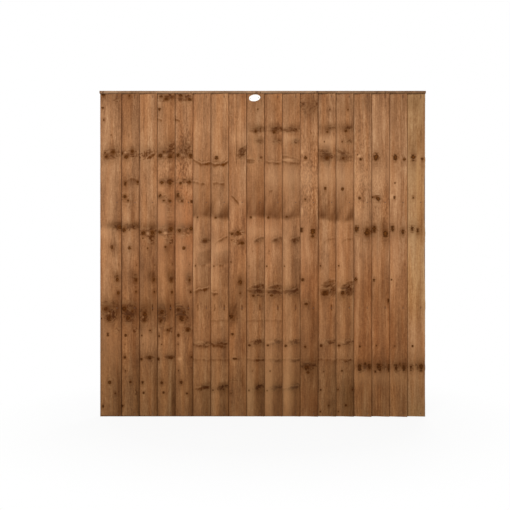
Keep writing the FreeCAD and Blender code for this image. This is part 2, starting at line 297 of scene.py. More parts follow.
    # The dark cluster: two lobes on most boards
    plank.mark("knot", (607, 31, 15, 0.9, 0.8), (590, 55, 6, 1.0, 0.8), (552, 48, 14, 1.3, 0.8),
               (554, 8, 5, 1.0, 0.7), on=(1,))
    plank.mark("lens", (574, 69, 24, 7, 85, 0.8), on=(1,))
    plank.mark("knot", (610, 35, 13, 1.0, 0.8), (588, 84, 7, 1.3, 0.7), (557, 57, 13, 1.1, 0.75), on=(2,))
    plank.mark("lens", (584, 62, 34, 12, -35, 0.4), (596, 102, 32, 3, 90, 0.5), on=(2,))
    plank.mark("knot", (574, 49, 12, 1.5, 0.75), (544, 46, 11, 1.5, 0.75), on=(3,))
    plank.mark("knot", (588, 44, 18, 0.8, 0.8), (540, 41, 13, 1.3, 0.7), on=(4,))
    plank.mark("knot", (600, 39, 11, 0.9, 0.8), (582, 66, 6, 1.3, 0.8), (550, 50, 17, 1.0, 0.72), on=(5,))
    plank.mark("smudge", (580, 52, 40, 50, 0.85, -0.4), on=(1, 2, 5))
    plank.mark("smudge", (566, 46, 26, 54, 0.85, 0.0), on=(3, 4))
    plank.mark("shade", (590, 56, 54, 62, 0.8))
    plank.mark("shade", (600, 80, 30, 50, 0.5), on=(1, 2))
    plank.mark("shade", (500, 34, 14, 40, 0.6), on=(3,))
    plank.mark("smudge", (640, 60, 70, 18, 0.3, 0.0), on=(1, 2))
    plank.mark("pale", (582, 47, 5, 5, 0.6), on=(1,))
    plank.mark("pale", (560, 42, 4, 8, 0.6), on=(3,))
    # Below it
    plank.mark("smudge", (486, 98, 20, 18, 0.5, 0.3))
    plank.mark("smudge", (486, 82, 24, 18, 0.6, 0.2), on=(4, 5))
    plank.mark("knot", (486, 76, 9, 0.9, 0.7), (456, 32, 5, 1.2, 0.9), (324, 27, 6.5, 1.4, 0.9), on=(3, 4))
    plank.mark("knot", (487, 92, 11, 0.9, 0.75), (336, 112, 8, 0.8, 0.7), on=(5,))
    plank.mark("knot", (458, 41, 6, 1.2, 1.0), on=(1, 2, 5))
    plank.mark("knot", (408, 41, 3, 1.3, 0.8))
    plank.mark("knot", (334, 35, 7.5, 1.2, 0.9), (196, 68, 8, 1.2, 1.0), (58, 27, 5.5, 1.3, 0.85), on=(2,))
    plank.mark("lens", (336, 72, 30, 9, 0, 0.6), on=(3,))
    plank.mark("knot", (336, 76, 12, 0.8, 0.7), (190, 34, 7, 1.2, 1.0), (134, 46, 5.5, 1.1, 0.85), on=(3,))
    plank.mark("lens", (336, 92, 30, 9, 0, 0.6), on=(4,))
    plank.mark("knot", (336, 98, 12, 0.8, 0.75), (192, 42, 7, 1.3, 1.0), (134, 58, 6, 1.0, 0.9), on=(4,))
    plank.mark("shade", (338, 84, 40, 18, 0.6), on=(3, 4))
    plank.mark("pale", (326, 46, 11, 9, 1.0), on=(5,))
    plank.mark("smudge", (350, 60, 80, 8, 0.2, 0.0), on=(1, 2))
    plank.mark("knot", (261, 39, 3.2, 1.4, 0.8), on=(2, 4, 5))
    plank.mark("knot", (194, 54, 8, 1.2, 1.0), (132, 88, 6, 1.1, 0.85), on=(1, 5))
    plank.mark("smudge", (134, 108, 9, 36, 0.6, 0.0), on=(2,))
    plank.mark("knot", (58, 16, 5.5, 1.3, 0.85), on=(1,))
    plank.mark("shade", (90, 112, 16, 190, 0.6))
    # Broad tones
    plank.mark("shade", (1651, 60, 90, 90, 0.25), on=(2,))
    plank.mark("pale", (1145, 60, 80, 60, 0.2), on=(4, 5))
    plank.mark("pale", (1030, 30, 50, 40, 0.3), (390, 60, 80, 110, 0.25), on=(1,))
    plank.mark("shade", (942, 60, 90, 40, 0.2), on=(1, 2, 4, 5))
    plank.mark("shade", (660, 70, 90, 70, 0.2), on=(1, 3, 4))
    plank.mark("pale", (435, 60, 80, 70, 0.38), on=(3,))
    plank.mark("shade", (233, 60, 90, 70, 0.25), (880, 70, 90, 240, 0.5), on=(3,))
    plank.mark("shade", (880, 70, 90, 240, 0.35), on=(4,))
    plank.mark("pale", (880, 60, 70, 200, 0.25), on=(5,))
    return plank


def middle_plank():
    """Boards 6, 7, 9, 10, 11, 13 and 14: calm straight grain with long branch lines and a dark band."""
    plank = Plank(6, 7, 9, 10, 11, 13, 14)
    # Upper whorl
    plank.mark("knot", (1725, 85, 3, 1.5, 0.85), (1602, 74, 8.5, 1.2, 0.8), on=(9, 10, 13, 14))
    plank.mark("shade", (1624, 80, 60, 24, 0.6), on=(9, 10, 11, 13, 14))
    plank.mark("lens", (1609, 58, 56, 15, -4, 0.4), on=(11,))
    plank.mark("smudge", (1606, 60, 56, 14, 0.7, 0.0), on=(11,))
    plank.mark("lens", (1610, 90, 46, 18, 9, 0.4), on=(9, 10))
    plank.mark("smudge", (1612, 88, 38, 17, 0.55, 0.0), on=(9, 10))
    plank.mark("smudge", (1620, 96, 26, 14, 0.6, 0.1), on=(13, 14))
    plank.mark("smudge", (1545, 94, 24, 14, 0.7, 0.0), on=(9, 10, 11, 14))
    plank.mark("shade", (1552, 96, 34, 22, 0.5), on=(9, 10, 11, 14))
    plank.mark("knot", (1545, 56, 3.2, 1.5, 0.9), on=(13, 14))
    # Long branch lines and the whorl beside them
    plank.mark("spike", (1450, 15, 1428, 122, -20, 1.05), (1318, 18, 1304, 90, 0, 0.6), on=(6,))
    plank.mark("spike", (1424, 15, 1432, 122, -14, 1.1), (1312, 30, 1306, 100, 0, 0.6), on=(7,))
    plank.mark("smudge", (1424, 84, 40, 12, 0.6, 0.1), on=(7,))
    plank.mark("smudge", (1440, 60, 30, 10, 0.4, -0.2), on=(6,))
    plank.mark("knot", (1454, 50, 10, 1.0, 0.95), on=(7,))
    plank.mark("spike", (1464, 16, 1436, 118, 4, 0.55), on=(11,))
    plank.mark("spike", (1436, 16, 1424, 118, -6, 0.7), on=(10, 11))
    plank.mark("pale", (1444, 60, 34, 7, 0.6), (1560, 60, 60, 20, 0.4), on=(11,))
    plank.mark("smudge", (1438, 34, 22, 13, 0.6, 0.0), (1452, 100, 26, 14, 0.5, 0.2), on=(9,))
    plank.mark("lens", (1436, 38, 26, 13, 0, 0.75), on=(9,))
    plank.mark("lens", (1494, 44, 34, 9, -8, 0.6), (1456, 60, 46, 24, 4, 0.35), on=(13,))
    plank.mark("lens", (1486, 46, 36, 9, -30, 0.5), (1450, 66, 48, 20, -6, 0.4), on=(14,))
    plank.mark("smudge", (1482, 62, 46, 20, 0.4, -0.5), (1458, 60, 46, 28, 0.4, 0.0), on=(13, 14))
    plank.mark("shade", (1470, 60, 56, 42, 0.6), on=(13, 14))
    plank.mark("knot", (1452, 68, 10, 1.0, 0.85), on=(13,))
    plank.mark("knot", (1452, 66, 9, 1.0, 0.55), on=(14,))
    plank.mark("pale", (1548, 62, 60, 30, 0.6), on=(13,))
    # Round the dark band
    plank.mark("knot", (1279, 57, 6.5, 1.5, 0.9), on=(13, 14))
    plank.mark("spike", (1262, 45, 1272, 66, 0, 0.7), on=(10,))
    plank.mark("knot", (1120, 47, 5.2, 1.0, 1.0), on=(6, 7, 9, 10, 11))
    plank.mark("smudge", (1116, 50, 14, 9, 0.4, 0.2), on=(6, 7, 9, 10, 11))
    plank.mark("spike", (984, 60, 1006, 122, 5, 0.55), on=(9, 10, 11))
    plank.mark("smudge", (988, 88, 26, 13, 0.45, 0.2), on=(9, 10))
    plank.mark("smudge", (988, 92, 28, 14, 0.5, 0.2), on=(6, 11))
    plank.mark("shade", (990, 90, 36, 24, 0.5), on=(6, 9, 10, 11))
    plank.mark("lens", (988, 86, 28, 15, 5, 0.5), on=(6,))
    plank.mark("knot", (990, 84, 9, 0.7, 0.3), on=(6,))
    plank.mark("spike", (966, 40, 1010, 116, 6, 0.75), on=(7,))
    plank.mark("spike", (980, 50, 1000, 118, 6, 0.35), on=(13, 14))
    # Heartwood and branch wood at mid height
    plank.mark("knot", (930, 53, 3, 1.2, 0.7), (680, 58, 9, 0.9, 0.7), (700, 40, 6, 0.9, 0.7), on=(9, 10))
    plank.mark("knot", (848, 34, 3.6, 1.2, 0.9))
    plank.mark("spike", (846, 66, 852, 92, 0, 0.6), on=(6, 7))
    plank.mark("pale", (800, 24, 9, 150, 0.8), on=(6, 7))
    plank.mark("patch", (842, 918, 44, 0.3, 0.45), (730, 838, 66, 0.1, 0.25), on=(6, 7))
    plank.mark("patch", (760, 880, 70, 0.1, 0.2), on=(9, 10, 11))
    plank.mark("lens", (613, 46, 24, 3.6, 90, 1.1), on=(6, 7))
    plank.mark("spike", (694, 8, 720, 112, 4, 1.2), on=(6,))
    plank.mark("spike", (704, 8, 690, 62, -6, 1.1), on=(7,))
    plank.mark("spike", (708, 20, 716, 110, -6, 0.75), on=(11,))
    plank.mark("lens", (732, 84, 40, 10, 14, 0.6), (706, 70, 50, 11, -3, 0.55), on=(9, 10))
    plank.mark("smudge", (712, 84, 46, 40, 0.75, 0.1), on=(9, 10))
    plank.mark("smudge", (704, 66, 50, 22, 0.7, 0.0), on=(11,))
    plank.mark("shade", (712, 78, 58, 44, 0.6), on=(9, 10, 11))
    plank.mark("lens", (748, 82, 38, 18, 20, 0.8), (708, 102, 32, 16, 80, 0.75), (694, 66, 26, 14, 10, 0.6),
               on=(13,))
    plank.mark("lens", (740, 87, 38, 15, 30, 0.75), (704, 96, 28, 24, 80, 0.65), on=(14,))
    plank.mark("smudge", (716, 80, 44, 34, 0.5, 0.3), on=(13, 14))
    plank.mark("shade", (716, 80, 50, 50, 0.6), on=(13, 14))
    plank.mark("knot", (695, 57, 14, 0.9, 0.95), on=(13,))
    plank.mark("knot", (694, 60, 11, 1.0, 0.9), on=(14,))
    plank.mark("pale", (714, 38, 14, 12, 0.5), on=(14,))
    plank.mark("spike", (538, 10, 540, 122, 2, 0.35), on=(7, 9, 10))
    # Lower branch lines
    plank.mark("knot", (400, 38, 6, 1.0, 0.95), on=(9, 10, 11, 13, 14))
    plank.mark("spike", (412, 15, 396, 110, -8, 0.65), on=(6, 7))
    plank.mark("smudge", (410, 78, 48, 15, 0.75, 0.0), on=(6, 7))
    plank.mark("spike", (398, 30, 408, 118, 6, 0.5), on=(7,))
    plank.mark("smudge", (420, 84, 36, 16, 0.95, 0.15), on=(9, 10, 11, 13, 14))
    plank.mark("shade", (414, 76, 58, 24, 0.35))
    plank.mark("pale", (420, 56, 20, 12, 0.6), on=(13, 14))
    plank.mark("pale", (420, 60, 26, 8, 0.5), on=(6, 10))
    plank.mark("spike", (322, 10, 318, 122, 0, 0.4))
    plank.mark("smudge", (314, 90, 34, 10, 0.8, 0.15), on=(9, 10, 11, 14))
    # Towards the foot
    plank.mark("knot", (257, 54, 4, 1.1, 0.75), on=(9, 10, 13, 14))
    plank.mark("spike", (152, 20, 172, 116, 0, 0.6), on=(6, 11))
    plank.mark("smudge", (166, 86, 36, 15, 1.0, 0.25), on=(6, 7, 9, 10, 11))
    plank.mark("shade", (162, 84, 46, 32, 0.5), on=(7, 9, 10, 11))
    plank.mark("pale", (150, 42, 24, 180, 0.45), on=(9, 10, 11))
    plank.mark("shade", (120, 94, 30, 150, 0.2), on=(9, 10, 11))
    plank.mark("knot", (150, 34, 4.4, 1.1, 0.85), on=(7, 9, 10, 13, 14))
    plank.mark("knot", (156, 112, 5, 1.1, 0.8), on=(14,))
    plank.mark("knot", (64, 79, 6, 1.1, 0.85), (30, 32, 4, 1.1, 0.75), on=(13, 14))
    plank.mark("patch", (-40, 190, 64, 0.2, 0.4), on=(6, 7))
    plank.mark("patch", (-40, 430, 62, 0.1, 0.25), on=(9, 10, 11))
    plank.mark("pale", (300, 50, 60, 280, 0.25), on=(10, 11))
    plank.mark("patch", (-40, 310, 54, 0.1, 0.35), on=(13, 14))
    plank.mark("shade", (60, 80, 60, 90, 0.25), on=(14,))
    # Broad tones
    # The shade just under the cap is painted shade of the cap's overhang
    plank.mark("shade", (1770, 60, 90, 60, 0.3), on=(9, 10, 11, 14))
    plank.mark("shade", (1520, 60, 90, 380, 0.18), on=(9, 10, 11, 13))
    plank.mark("shade", (1640, 60, 90, 140, 0.22), (130, 60, 90, 60, 0.3), on=(14,))
    plank.mark("pale", (1345, 60, 90, 60, 0.35), on=(10, 11, 13, 14))
    plank.mark("shade", (1145, 50, 80, 40, 0.4), on=(7,))
    plank.mark("pale", (1043, 60, 80, 40, 0.3), on=(9, 10))
    plank.mark("pale", (940, 60, 80, 50, 0.35), on=(7,))
    plank.mark("shade", (650, 70, 90, 80, 0.3), on=(6, 7, 9, 10, 11, 14))
    plank.mark("shade", (233, 60, 90, 60, 0.25), on=(11,))
    return plank


def eighth_plank():
    """Board 8: paler at the top, with a crack and a leaning dark smear."""
    plank = Plank(8)
    plank.mark("smudge", (1690, 34, 9, 60, 0.35, 0.0), (1484, 96, 24, 34, 0.7, 0.3),
               (1030, 60, 44, 20, 0.95, 0.1), (982, 80, 36, 17, 0.85, -0.1), (735, 84, 16, 50, 0.3, 0.0),
               (545, 60, 40, 10, 0.4, 0.2), (462, 70, 40, 7, 0.3, 0.0), (322, 60, 46, 7, 0.4, 0.0),
               (205, 60, 60, 10, 0.35, 0.1))
    plank.mark("lens", (1510, 60, 100, 3.6, 90, 0.9), (1650, 63, 150, 3.2, 90, 0.6),
               (1488, 96, 42, 18, 56, 0.5), (600, 48, 52, 8, 68, 0.45))
    plank.mark("shade", (1486, 94, 30, 40, 0.8), (764, 82, 20, 34, 0.5), (584, 46, 30, 62, 0.9),
               (680, 70, 90, 120, 0.45), (233, 60, 90, 70, 0.25))
    plank.mark("knot", (1480, 30, 4, 1.0, 0.6), (1028, 40, 7.5, 0.9, 0.9), (1036, 76, 7, 1.0, 0.9),
               (990, 38, 6, 1.0, 0.85), (974, 96, 9, 0.9, 0.85), (870, 36, 4, 1.0, 0.7),
               (758, 84, 11, 1.3, 0.8), (694, 88, 6, 1.0, 0.75), (558, 35, 13, 1.2, 0.8),
               (464, 42, 6.5, 0.9, 0.9), (326, 52, 11, 0.45, 0.9), (132, 30, 5, 1.0, 0.85))
    plank.mark("spike", (1242, 34, 1196, 80, 0, 0.95))
    plank.mark("pale", (1562, 50, 80, 46, 0.28))
    return plank


def twelfth_plank():
    """Board 12: dark and smoky at the top, wavy in the upper half, reddish below."""
    plank = Plank(12)
    plank.mark("smudge", (1755, 34, 16, 24, 0.65, 0.0), (1752, 112, 12, 26, 0.65, 0.0),
               (1730, 70, 60, 50, 0.3, 0.0), (1800, 70, 60, 20, 0.25, 0.0), (771, 31, 16, 14, 0.5, 0.0),
               (640, 55, 30, 24, 0.35, 0.0), (285, 66, 44, 22, 0.75, 0.0))
    plank.mark("shade", (1750, 70, 70, 84, 0.8), (290, 66, 60, 36, 0.4), (1550, 60, 80, 50, 0.3),
               (841, 70, 90, 60, 0.3), (620, 70, 90, 120, 0.35), (240, 70, 90, 320, 0.5))
    plank.mark("curl", (1330, 70, 90, 230, 1.0))
    plank.mark("knot", (1455, 48, 9, 1.4, 0.7), (1224, 51, 8, 1.2, 0.8), (1050, 26, 8, 1.5, 0.95),
               (1032, 94, 11, 1.9, 1.0), (771, 31, 8, 1.1, 0.95), (632, 53, 10, 0.8, 0.75),
               (392, 51, 5.5, 1.2, 0.95), (280, 60, 14, 0.9, 0.85), (250, 64, 8, 1.3, 0.85))
    plank.mark("pale", (1490, 34, 9, 14, 0.7), (1160, 30, 6, 20, 0.8), (1347, 60, 80, 60, 0.45))
    plank.mark("lens", (290, 40, 26, 9, 24, 0.3), (290, 88, 28, 9, -20, 0.3))
    return plank


def right_plank():
    """Boards 15 to 18: strong straight grain with tall knots in pairs."""
    plank = Plank(15, 16, 17, 18)
    # First whorl and the curly grain round it
    plank.mark("curl", (1360, 60, 70, 260, 0.8), on=(15,))
    plank.mark("curl", (1250, 60, 70, 200, 0.6), on=(16,))
    plank.mark("knot", (1456, 46, 14, 1.7, 0.9), on=(16,))
    plank.mark("knot", (1457, 52, 12, 1.6, 0.9), (1444, 106, 7, 1.5, 0.9), on=(17, 18))
    plank.mark("knot", (1449, 58, 7, 1.1, 0.75), (1470, 38, 4, 1.1, 0.6), on=(15,))
    plank.mark("pale", (1464, 48, 10, 9, 1.0), (1396, 26, 5, 40, 0.7), on=(15,))
    plank.mark("knot", (1314, 53, 4, 1.0, 0.7), on=(17,))
    # Second
    plank.mark("knot", (1229, 51, 6, 1.2, 0.85))
    plank.mark("knot", (1232, 22, 5, 1.2, 0.8), (1224, 54, 9, 1.3, 0.85), on=(16,))
    plank.mark("smudge", (1226, 44, 20, 12, 0.4, 0.0), on=(15,))
    plank.mark("lens", (1238, 40, 30, 7, 14, 0.8), on=(16,))
    plank.mark("smudge", (1230, 44, 30, 18, 0.7, 0.2), on=(16,))
    plank.mark("pale", (1238, 34, 14, 12, 1.3), on=(17,))
    # Third: tall knots in pairs
    plank.mark("knot", (1056, 35, 12, 1.7, 0.78), on=(15, 16))
    plank.mark("knot", (1056, 43, 12, 1.6, 0.78), on=(17, 18))
    plank.mark("knot", (1038, 94, 15, 1.6, 0.75), on=(15,))
    plank.mark("knot", (1028, 100, 13, 1.9, 0.78), on=(16,))
    plank.mark("knot", (1038, 92, 12, 1.6, 0.7), on=(17,))
    plank.mark("knot", (1040, 79, 8, 1.6, 0.8), on=(18,))
    plank.mark("smudge", (1054, 36, 22, 34, 0.45, 0.0), (1032, 98, 24, 36, 0.4, 0.0), on=(15, 16))
    plank.mark("smudge", (1054, 44, 18, 28, 0.35, 0.0), (1036, 88, 18, 26, 0.35, 0.0), on=(17, 18))
    plank.mark("shade", (1046, 60, 60, 40, 0.3))
    plank.mark("smudge", (1042, 104, 20, 26, 0.8, 0.0), on=(15,))
    plank.mark("smudge", (1046, 30, 16, 26, 0.6, 0.0), on=(16,))
    plank.mark("shade", (1080, 80, 20, 40, 0.4), on=(16,))
    # Single knots
    plank.mark("knot", (769, 33, 7.5, 1.3, 0.95), on=(15, 16))
    plank.mark("knot", (769, 37, 6.5, 1.2, 0.65), on=(17,))
    plank.mark("knot", (655, 114, 6, 1.6, 0.8), on=(16,))
    plank.mark("knot", (397, 52, 4.4, 1.4, 0.85))
    # Low whorl
    plank.mark("knot", (278, 56, 9.5, 2.1, 0.85), (280, 102, 11, 2.0, 0.8), (296, 78, 7, 1.4, 0.7),
               on=(15, 17))
    plank.mark("knot", (284, 62, 15, 1.3, 0.8), (256, 40, 7, 1.2, 0.7), (262, 70, 9, 1.2, 0.8),
               (276, 113, 6, 3.2, 0.95), on=(16,))
    plank.mark("lens", (256, 66, 18, 6, 20, 0.7), on=(15, 17))
    plank.mark("knot", (276, 44, 6, 2.2, 0.8), (280, 98, 11, 1.8, 0.8), on=(18,))
    plank.mark("smudge", (280, 82, 54, 24, 0.5, 0.0))
    plank.mark("shade", (284, 84, 60, 34, 0.2), (288, 80, 70, 24, 0.2))
    # Broad tones
    plank.mark("shade", (1600, 60, 90, 340, 0.3), (334, 60, 90, 50, 0.3), on=(18,))
    plank.mark("shade", (1640, 60, 90, 200, 0.22), (540, 70, 90, 110, 0.3), (300, 60, 90, 300, 0.1),
               on=(17,))
    # The shade just under the cap is painted shade of the cap's overhang
    plank.mark("shade", (1770, 60, 90, 60, 0.4), on=(15, 17, 18))
    plank.mark("pale", (1449, 80, 40, 40, 0.3), on=(18,))
    plank.mark("pale", (1347, 60, 90, 60, 0.4), on=(15, 16))
    plank.mark("pale", (1145, 60, 90, 60, 0.3), on=(15,))
    plank.mark("shade", (690, 70, 90, 110, 0.42), (240, 60, 90, 300, 0.12), on=(15, 16))
    plank.mark("pale", (225, 60, 90, 50, 0.35), on=(15, 16, 17))
    return plank


MIDDLE_PLANK = middle_plank()
RIGHT_PLANK = right_plank()
PLANKS = [left_plank(), MIDDLE_PLANK, eighth_plank(), twelfth_plank(), RIGHT_PLANK]
PLANK_OF = {board: plank for plank in PLANKS for board in plank.boards}
# How much paler or darker than the rest, and how much redder, or below nought more olive, a board looks
PALENESS = {
    1: -0.3, 2: -0.4, 3: 0.05, 4: -0.15, 5: -0.1, 6: 0.05, 7: 0.05, 8: 0.0, 9: 0.1,
    10: 0.0, 11: 0.05, 12: 0.05, 13: -0.1, 14: 0.2, 15: 0.1, 16: 0.1, 17: 0.4, 18: 1.05,
}
REDNESS = {5: 0.2, 6: 0.2, 8: 0.1, 10: 0.3, 11: 0.15, 12: 0.35, 16: 0.1, 17: 0.1, 18: -0.4}
# Stretches that took the dip redder than the rest of the board: middle along it, reach each way, how much
RED_STRETCHES = {
    3: [(840, 300, 0.3), (150, 120, 0.5)],
    4: [(1092, 280, 1.05)],
    5: [(1080, 330, 1.4)],
    7: [(980, 220, 0.45), (130, 150, 0.4)],
    8: [(1130, 220, 0.45), (200, 200, 0.3)],
    9: [(1060, 220, 0.65), (260, 120, 0.3)],
    10: [(1040, 220, 0.4), (160, 180, 0.55)],
    11: [(1130, 120, 0.3), (150, 170, 0.6)],
    12: [(770, 170, 0.85), (90, 110, 0.7)],
    13: [(500, 400, 0.3)],
    14: [(950, 150, 0.5)],
    15: [(450, 520, 0.65), (720, 130, 0.4)],
    16: [(380, 420, 0.7)],
    17: [(550, 650, 0.5)],
    18: [(300, 220, 1.0)],
}
# How dark the line along each lap is, at the board's head and at its foot: painted shadow of the overlap,
# with dip gathered in it
LAP_SHADE_AND_DIP = {
    2: (0.1, 0.8), 3: (0.0, 0.8), 4: (0.15, 0.8), 5: (0.65, 0.5), 6: (0.0, 0.5), 7: (0.4, 0.4),
    8: (0.45, 0.55), 9: (0.85, 0.6), 10: (0.5, 0.3), 11: (0.4, 0.1), 12: (0.3, 0.3), 13: (0.85, 0.6),
    14: (0.9, 0.5), 15: (0.8, 0.6), 16: (0.7, 0.6), 17: (0.6, 0.4), 18: (0.8, 0.5),
}
# How much darker the thick side of a board took the dip than its thin side
TWO_TONE = {
    1: 0.4, 2: 0.3, 3: 0.2, 4: 0.9, 5: 0.5, 6: 0.8, 7: 0.5, 8: 0.3, 9: 0.65, 10: 0.65, 11: 0.85,
    12: 0.8, 13: 0.15, 14: 0.5, 15: 0.5, 16: 0.45, 17: 0.6, 18: 0.45,
}
# How plainly the growth bands show: boards sawn square to the rings have straight strong ones
STREAKS = {3: 0.62, 4: 0.75, 5: 0.75, 8: 0.75, 12: 0.75, 15: 0.92, 16: 0.92, 17: 0.92, 18: 0.92}


# The solids that the timber is fitted to


def solid_points(node):
    """The points of one solid, in metres."""
    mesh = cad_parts[node].data
    points = np.empty(len(mesh.vertices) * 3, dtype=np.float32)
    mesh.vertices.foreach_get("co", points)
    return points.reshape(-1, 3).astype(float)


def section_corners(node):
    """A board's section at its upper end: thin back, thick back, thick front, thin front, each (x, y)."""
    points = solid_points(node)
    end = points[points[:, 2] > points[:, 2].max() - 1e-5]
    ends = np.unique(np.round(end[:, :2], 6), axis=0)
    thin = ends[np.argsort(ends[:, 0])][:2]
    thick = ends[np.argsort(ends[:, 0])][2:]
    thin_front, thin_back = thin[np.argsort(thin[:, 1])]
    thick_front, thick_back = thick[np.argsort(thick[:, 1])]
    return thin_back, thick_back, thick_front, thin_front


def clusters(values, gap):
    """Index groups of values that lie closer together than gap."""
    order = np.argsort(values)
    breaks = np.flatnonzero(np.diff(values[order]) > gap) + 1
    return np.split(order, breaks)


def nail_middles(node, gap=5 * MM):
    """Middle of each nail in a group, told apart along X."""
    points = solid_points(node)
    groups = clusters(points[:, 0], gap)
    return np.array([(points[group].min(axis=0) + points[group].max(axis=0)) / 2 for group in groups])


CORNERS = {board: section_corners(f"board_{board:02d}") for board in range(1, BOARDS + 1)}
RAILS = ("bottom_rail", "lower_rail", "upper_rail", "top_rail")
NAIL_ROWS = {rail: nail_middles(rail + "_nails", gap=20 * MM) for rail in RAILS}
# How dark the split at each nail is: the row a third of the way up shows most
SPLITS = {"bottom_rail": 0.25, "lower_rail": 1.0, "upper_rail": 0.12, "top_rail": 0.5}
# Boards that show it in full in that row, and how dark it is there on the others
SPLIT_BOARDS = (3, 4, 5, 7, 8, 9, 10, 11, 13)
FAINT_SPLIT = 0.4


# Feather-edge boards

BOARD_WIDTH = np.linalg.norm(CORNERS[BOARDS][1] - CORNERS[BOARDS][0]) / MM
CAP_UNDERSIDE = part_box("cap_rail")[0][2] / MM
# How much of a board lies under its neighbour
HIDDEN = 19.0
# Spacing of the mesh's rows, near sharp marks and away from them
FINE_ROW = 2.6
COARSE_ROW = 9.0
# Mean wear of an arris
ARRIS = 0.9
# How far a mark usually strays across the board from its place on the plank
STRAY = 2.5
# Height of the foot of the dark band
BAND_FOOT = 1114
# Boards whose dark band is parted by a flame of younger wood
FLAME_BOARDS = (7, 11, 14)


def board_columns():
    """Places round a board's section, from the thin front arris: across, depth (1 front, 0 back), and how
    far an arris of unit wear moves each point across and in depth, in millimetres."""
    wide = BOARD_WIDTH
    # Columns stand close together where the nails go
    nail_side = np.array([91.0, 93.0, 94.4, 95.6, 96.8, 98.4])
    face = np.concatenate([[8, 15], np.arange(HIDDEN + 1, 90, 3.0), nail_side, np.arange(101, wide - 3, 3.0)])
    face_points = [(across, 1, 0, 0) for across in face]
    thick_front = [(wide, 1, -1.6, 0), (wide, 1, -0.5, -0.25), (wide, 1, -0.1, -0.9)]
    thick_edge = [(wide, 0.68, 0, 0), (wide, 0.4, 0, 0)]
    thick_back = [(wide, 0, 0, 0.6), (wide, 0, -0.5, 0)]
    back_points = [(across, 0, 0, 0) for across in np.arange(wide - 9, 8, -9.0)]
    thin_edge = [(0, 0, 0.4, 0), (0, 0, 0, 0.4), (0, 1, 0, -0.4), (0, 1, 0.4, 0)]
    return np.array(face_points + thick_front + thick_edge + thick_back + back_points + thin_edge).T


def gathered_rows(low, high, places, reach):
    """Heights from low to high, close together within reach of each place and sparse between them."""
    fine = np.arange(low, high, 1.0)
    near = np.zeros(len(fine), dtype=bool)
    for place, far in zip(places, reach):
        near |= np.abs(fine - place) < far
    density = np.where(near, 1 / FINE_ROW, 1 / COARSE_ROW)
    density = np.convolve(np.pad(density, 8, mode="edge"), np.full(17, 1 / 17), mode="valid")
    total = np.concatenate([[0], np.cumsum(density)])
    count = int(total[-1])
    return np.interp(np.linspace(0, total[-1], count + 1), total, np.append(fine, high))


def sharp_places(board):
    """Heights of a board's sharp marks, and how far from each one the rows must stay close together."""
    plank = PLANK_OF[board]
    spots = [(NAIL_ROWS["lower_rail"][board - 1][2] / MM, 26)]
    spots += [(sizes[0], 1.6 * sizes[2] * sizes[3] + 4) for sizes in plank.of("knot", board)]
    spots += [(sizes[0], 0.5 * sizes[2] + sizes[3] + 6) for sizes in plank.of("lens", board)]
    for sizes in plank.of("spike", board):
        spots.append(((sizes[0] + sizes[2]) / 2, abs(sizes[0] - sizes[2]) / 2 + abs(sizes[4]) + 12))
    return np.array(spots).T


def jittered(board, sizes):
    """A mark's place on one board: the saw takes each board from a slightly different depth."""
    chance = np.random.default_rng(board * 1009 + int(sizes[0]) * 7 + int(sizes[1]))
    along = sizes[0] + chance.normal(0, STRAY * 0.6)
    across = sizes[1] + chance.normal(0, STRAY)
    return along, across, sizes[2:]


def ring_field(board, across, along):
    """Ring coordinate, knot distance and knot halo over a board.

    The ring coordinate is the place across, bent as a stream is bent round a post: near a knot it keeps the
    knot's own value less and less with distance, so that lines of equal value part before it and close
    after it. The knot distance is in knot radii from the nearest knot, and a faint knot never reaches 0.
    The halo is a bell curve of two radii, longer along the grain.
    """
    bent = across.copy()
    nearest = np.full(across.shape, 5.0)
    halo = np.zeros(across.shape)
    for sizes in PLANK_OF[board].of("knot", board):
        knot_along, knot_across, (radius, tall, depth) = jittered(board, sizes)
        aside = across - knot_across
        above = (along - knot_along) / tall
        distance = np.hypot(aside, above) / radius
        nearest = np.minimum(nearest, distance + 1.1 * (1 - depth))
        spread = aside ** 2 + (above / 2.2) ** 2 + 0.8 * radius ** 2
        bent -= aside * 1.5 * radius ** 2 / spread
        halo = np.maximum(halo, depth * np.exp(-(aside ** 2 + (above / 1.5) ** 2) / (2.1 * radius) ** 2))
    return bent, nearest, halo


def smear(board, kind, across, along):
    """Sum of soft leaning ellipses: each falls off as a bell curve from its middle."""
    total = np.zeros(across.shape)
    for sizes in PLANK_OF[board].of(kind, board):
        middle_along, middle_across, rest = jittered(board, sizes)
        half_width, half_height, depth = rest[:3]
        rise = rest[3] if len(rest) > 3 else 0.0
        aside = across - middle_across
        above = along - middle_along - rise * aside
        total += depth * np.exp(-(aside / half_width) ** 2 - (above / half_height) ** 2)
    return total


def patches(board, across, along):
    """Heartwood with definite edges: a leaning box of smooth steps, whose left border wavers."""
    total = np.zeros(across.shape)
    for foot, head, left, rise, depth in PLANK_OF[board].of("patch", board):
        border = left + 5 * wander(along, 170, board * 13 + int(head))
        height = along - rise * (across - left)
        sides = smooth_step(across, border - 3, border + 4)
        total += depth * sides * smooth_step(height, foot - 8, foot + 8) * smooth_step(head - height, -8, 8)
    return total


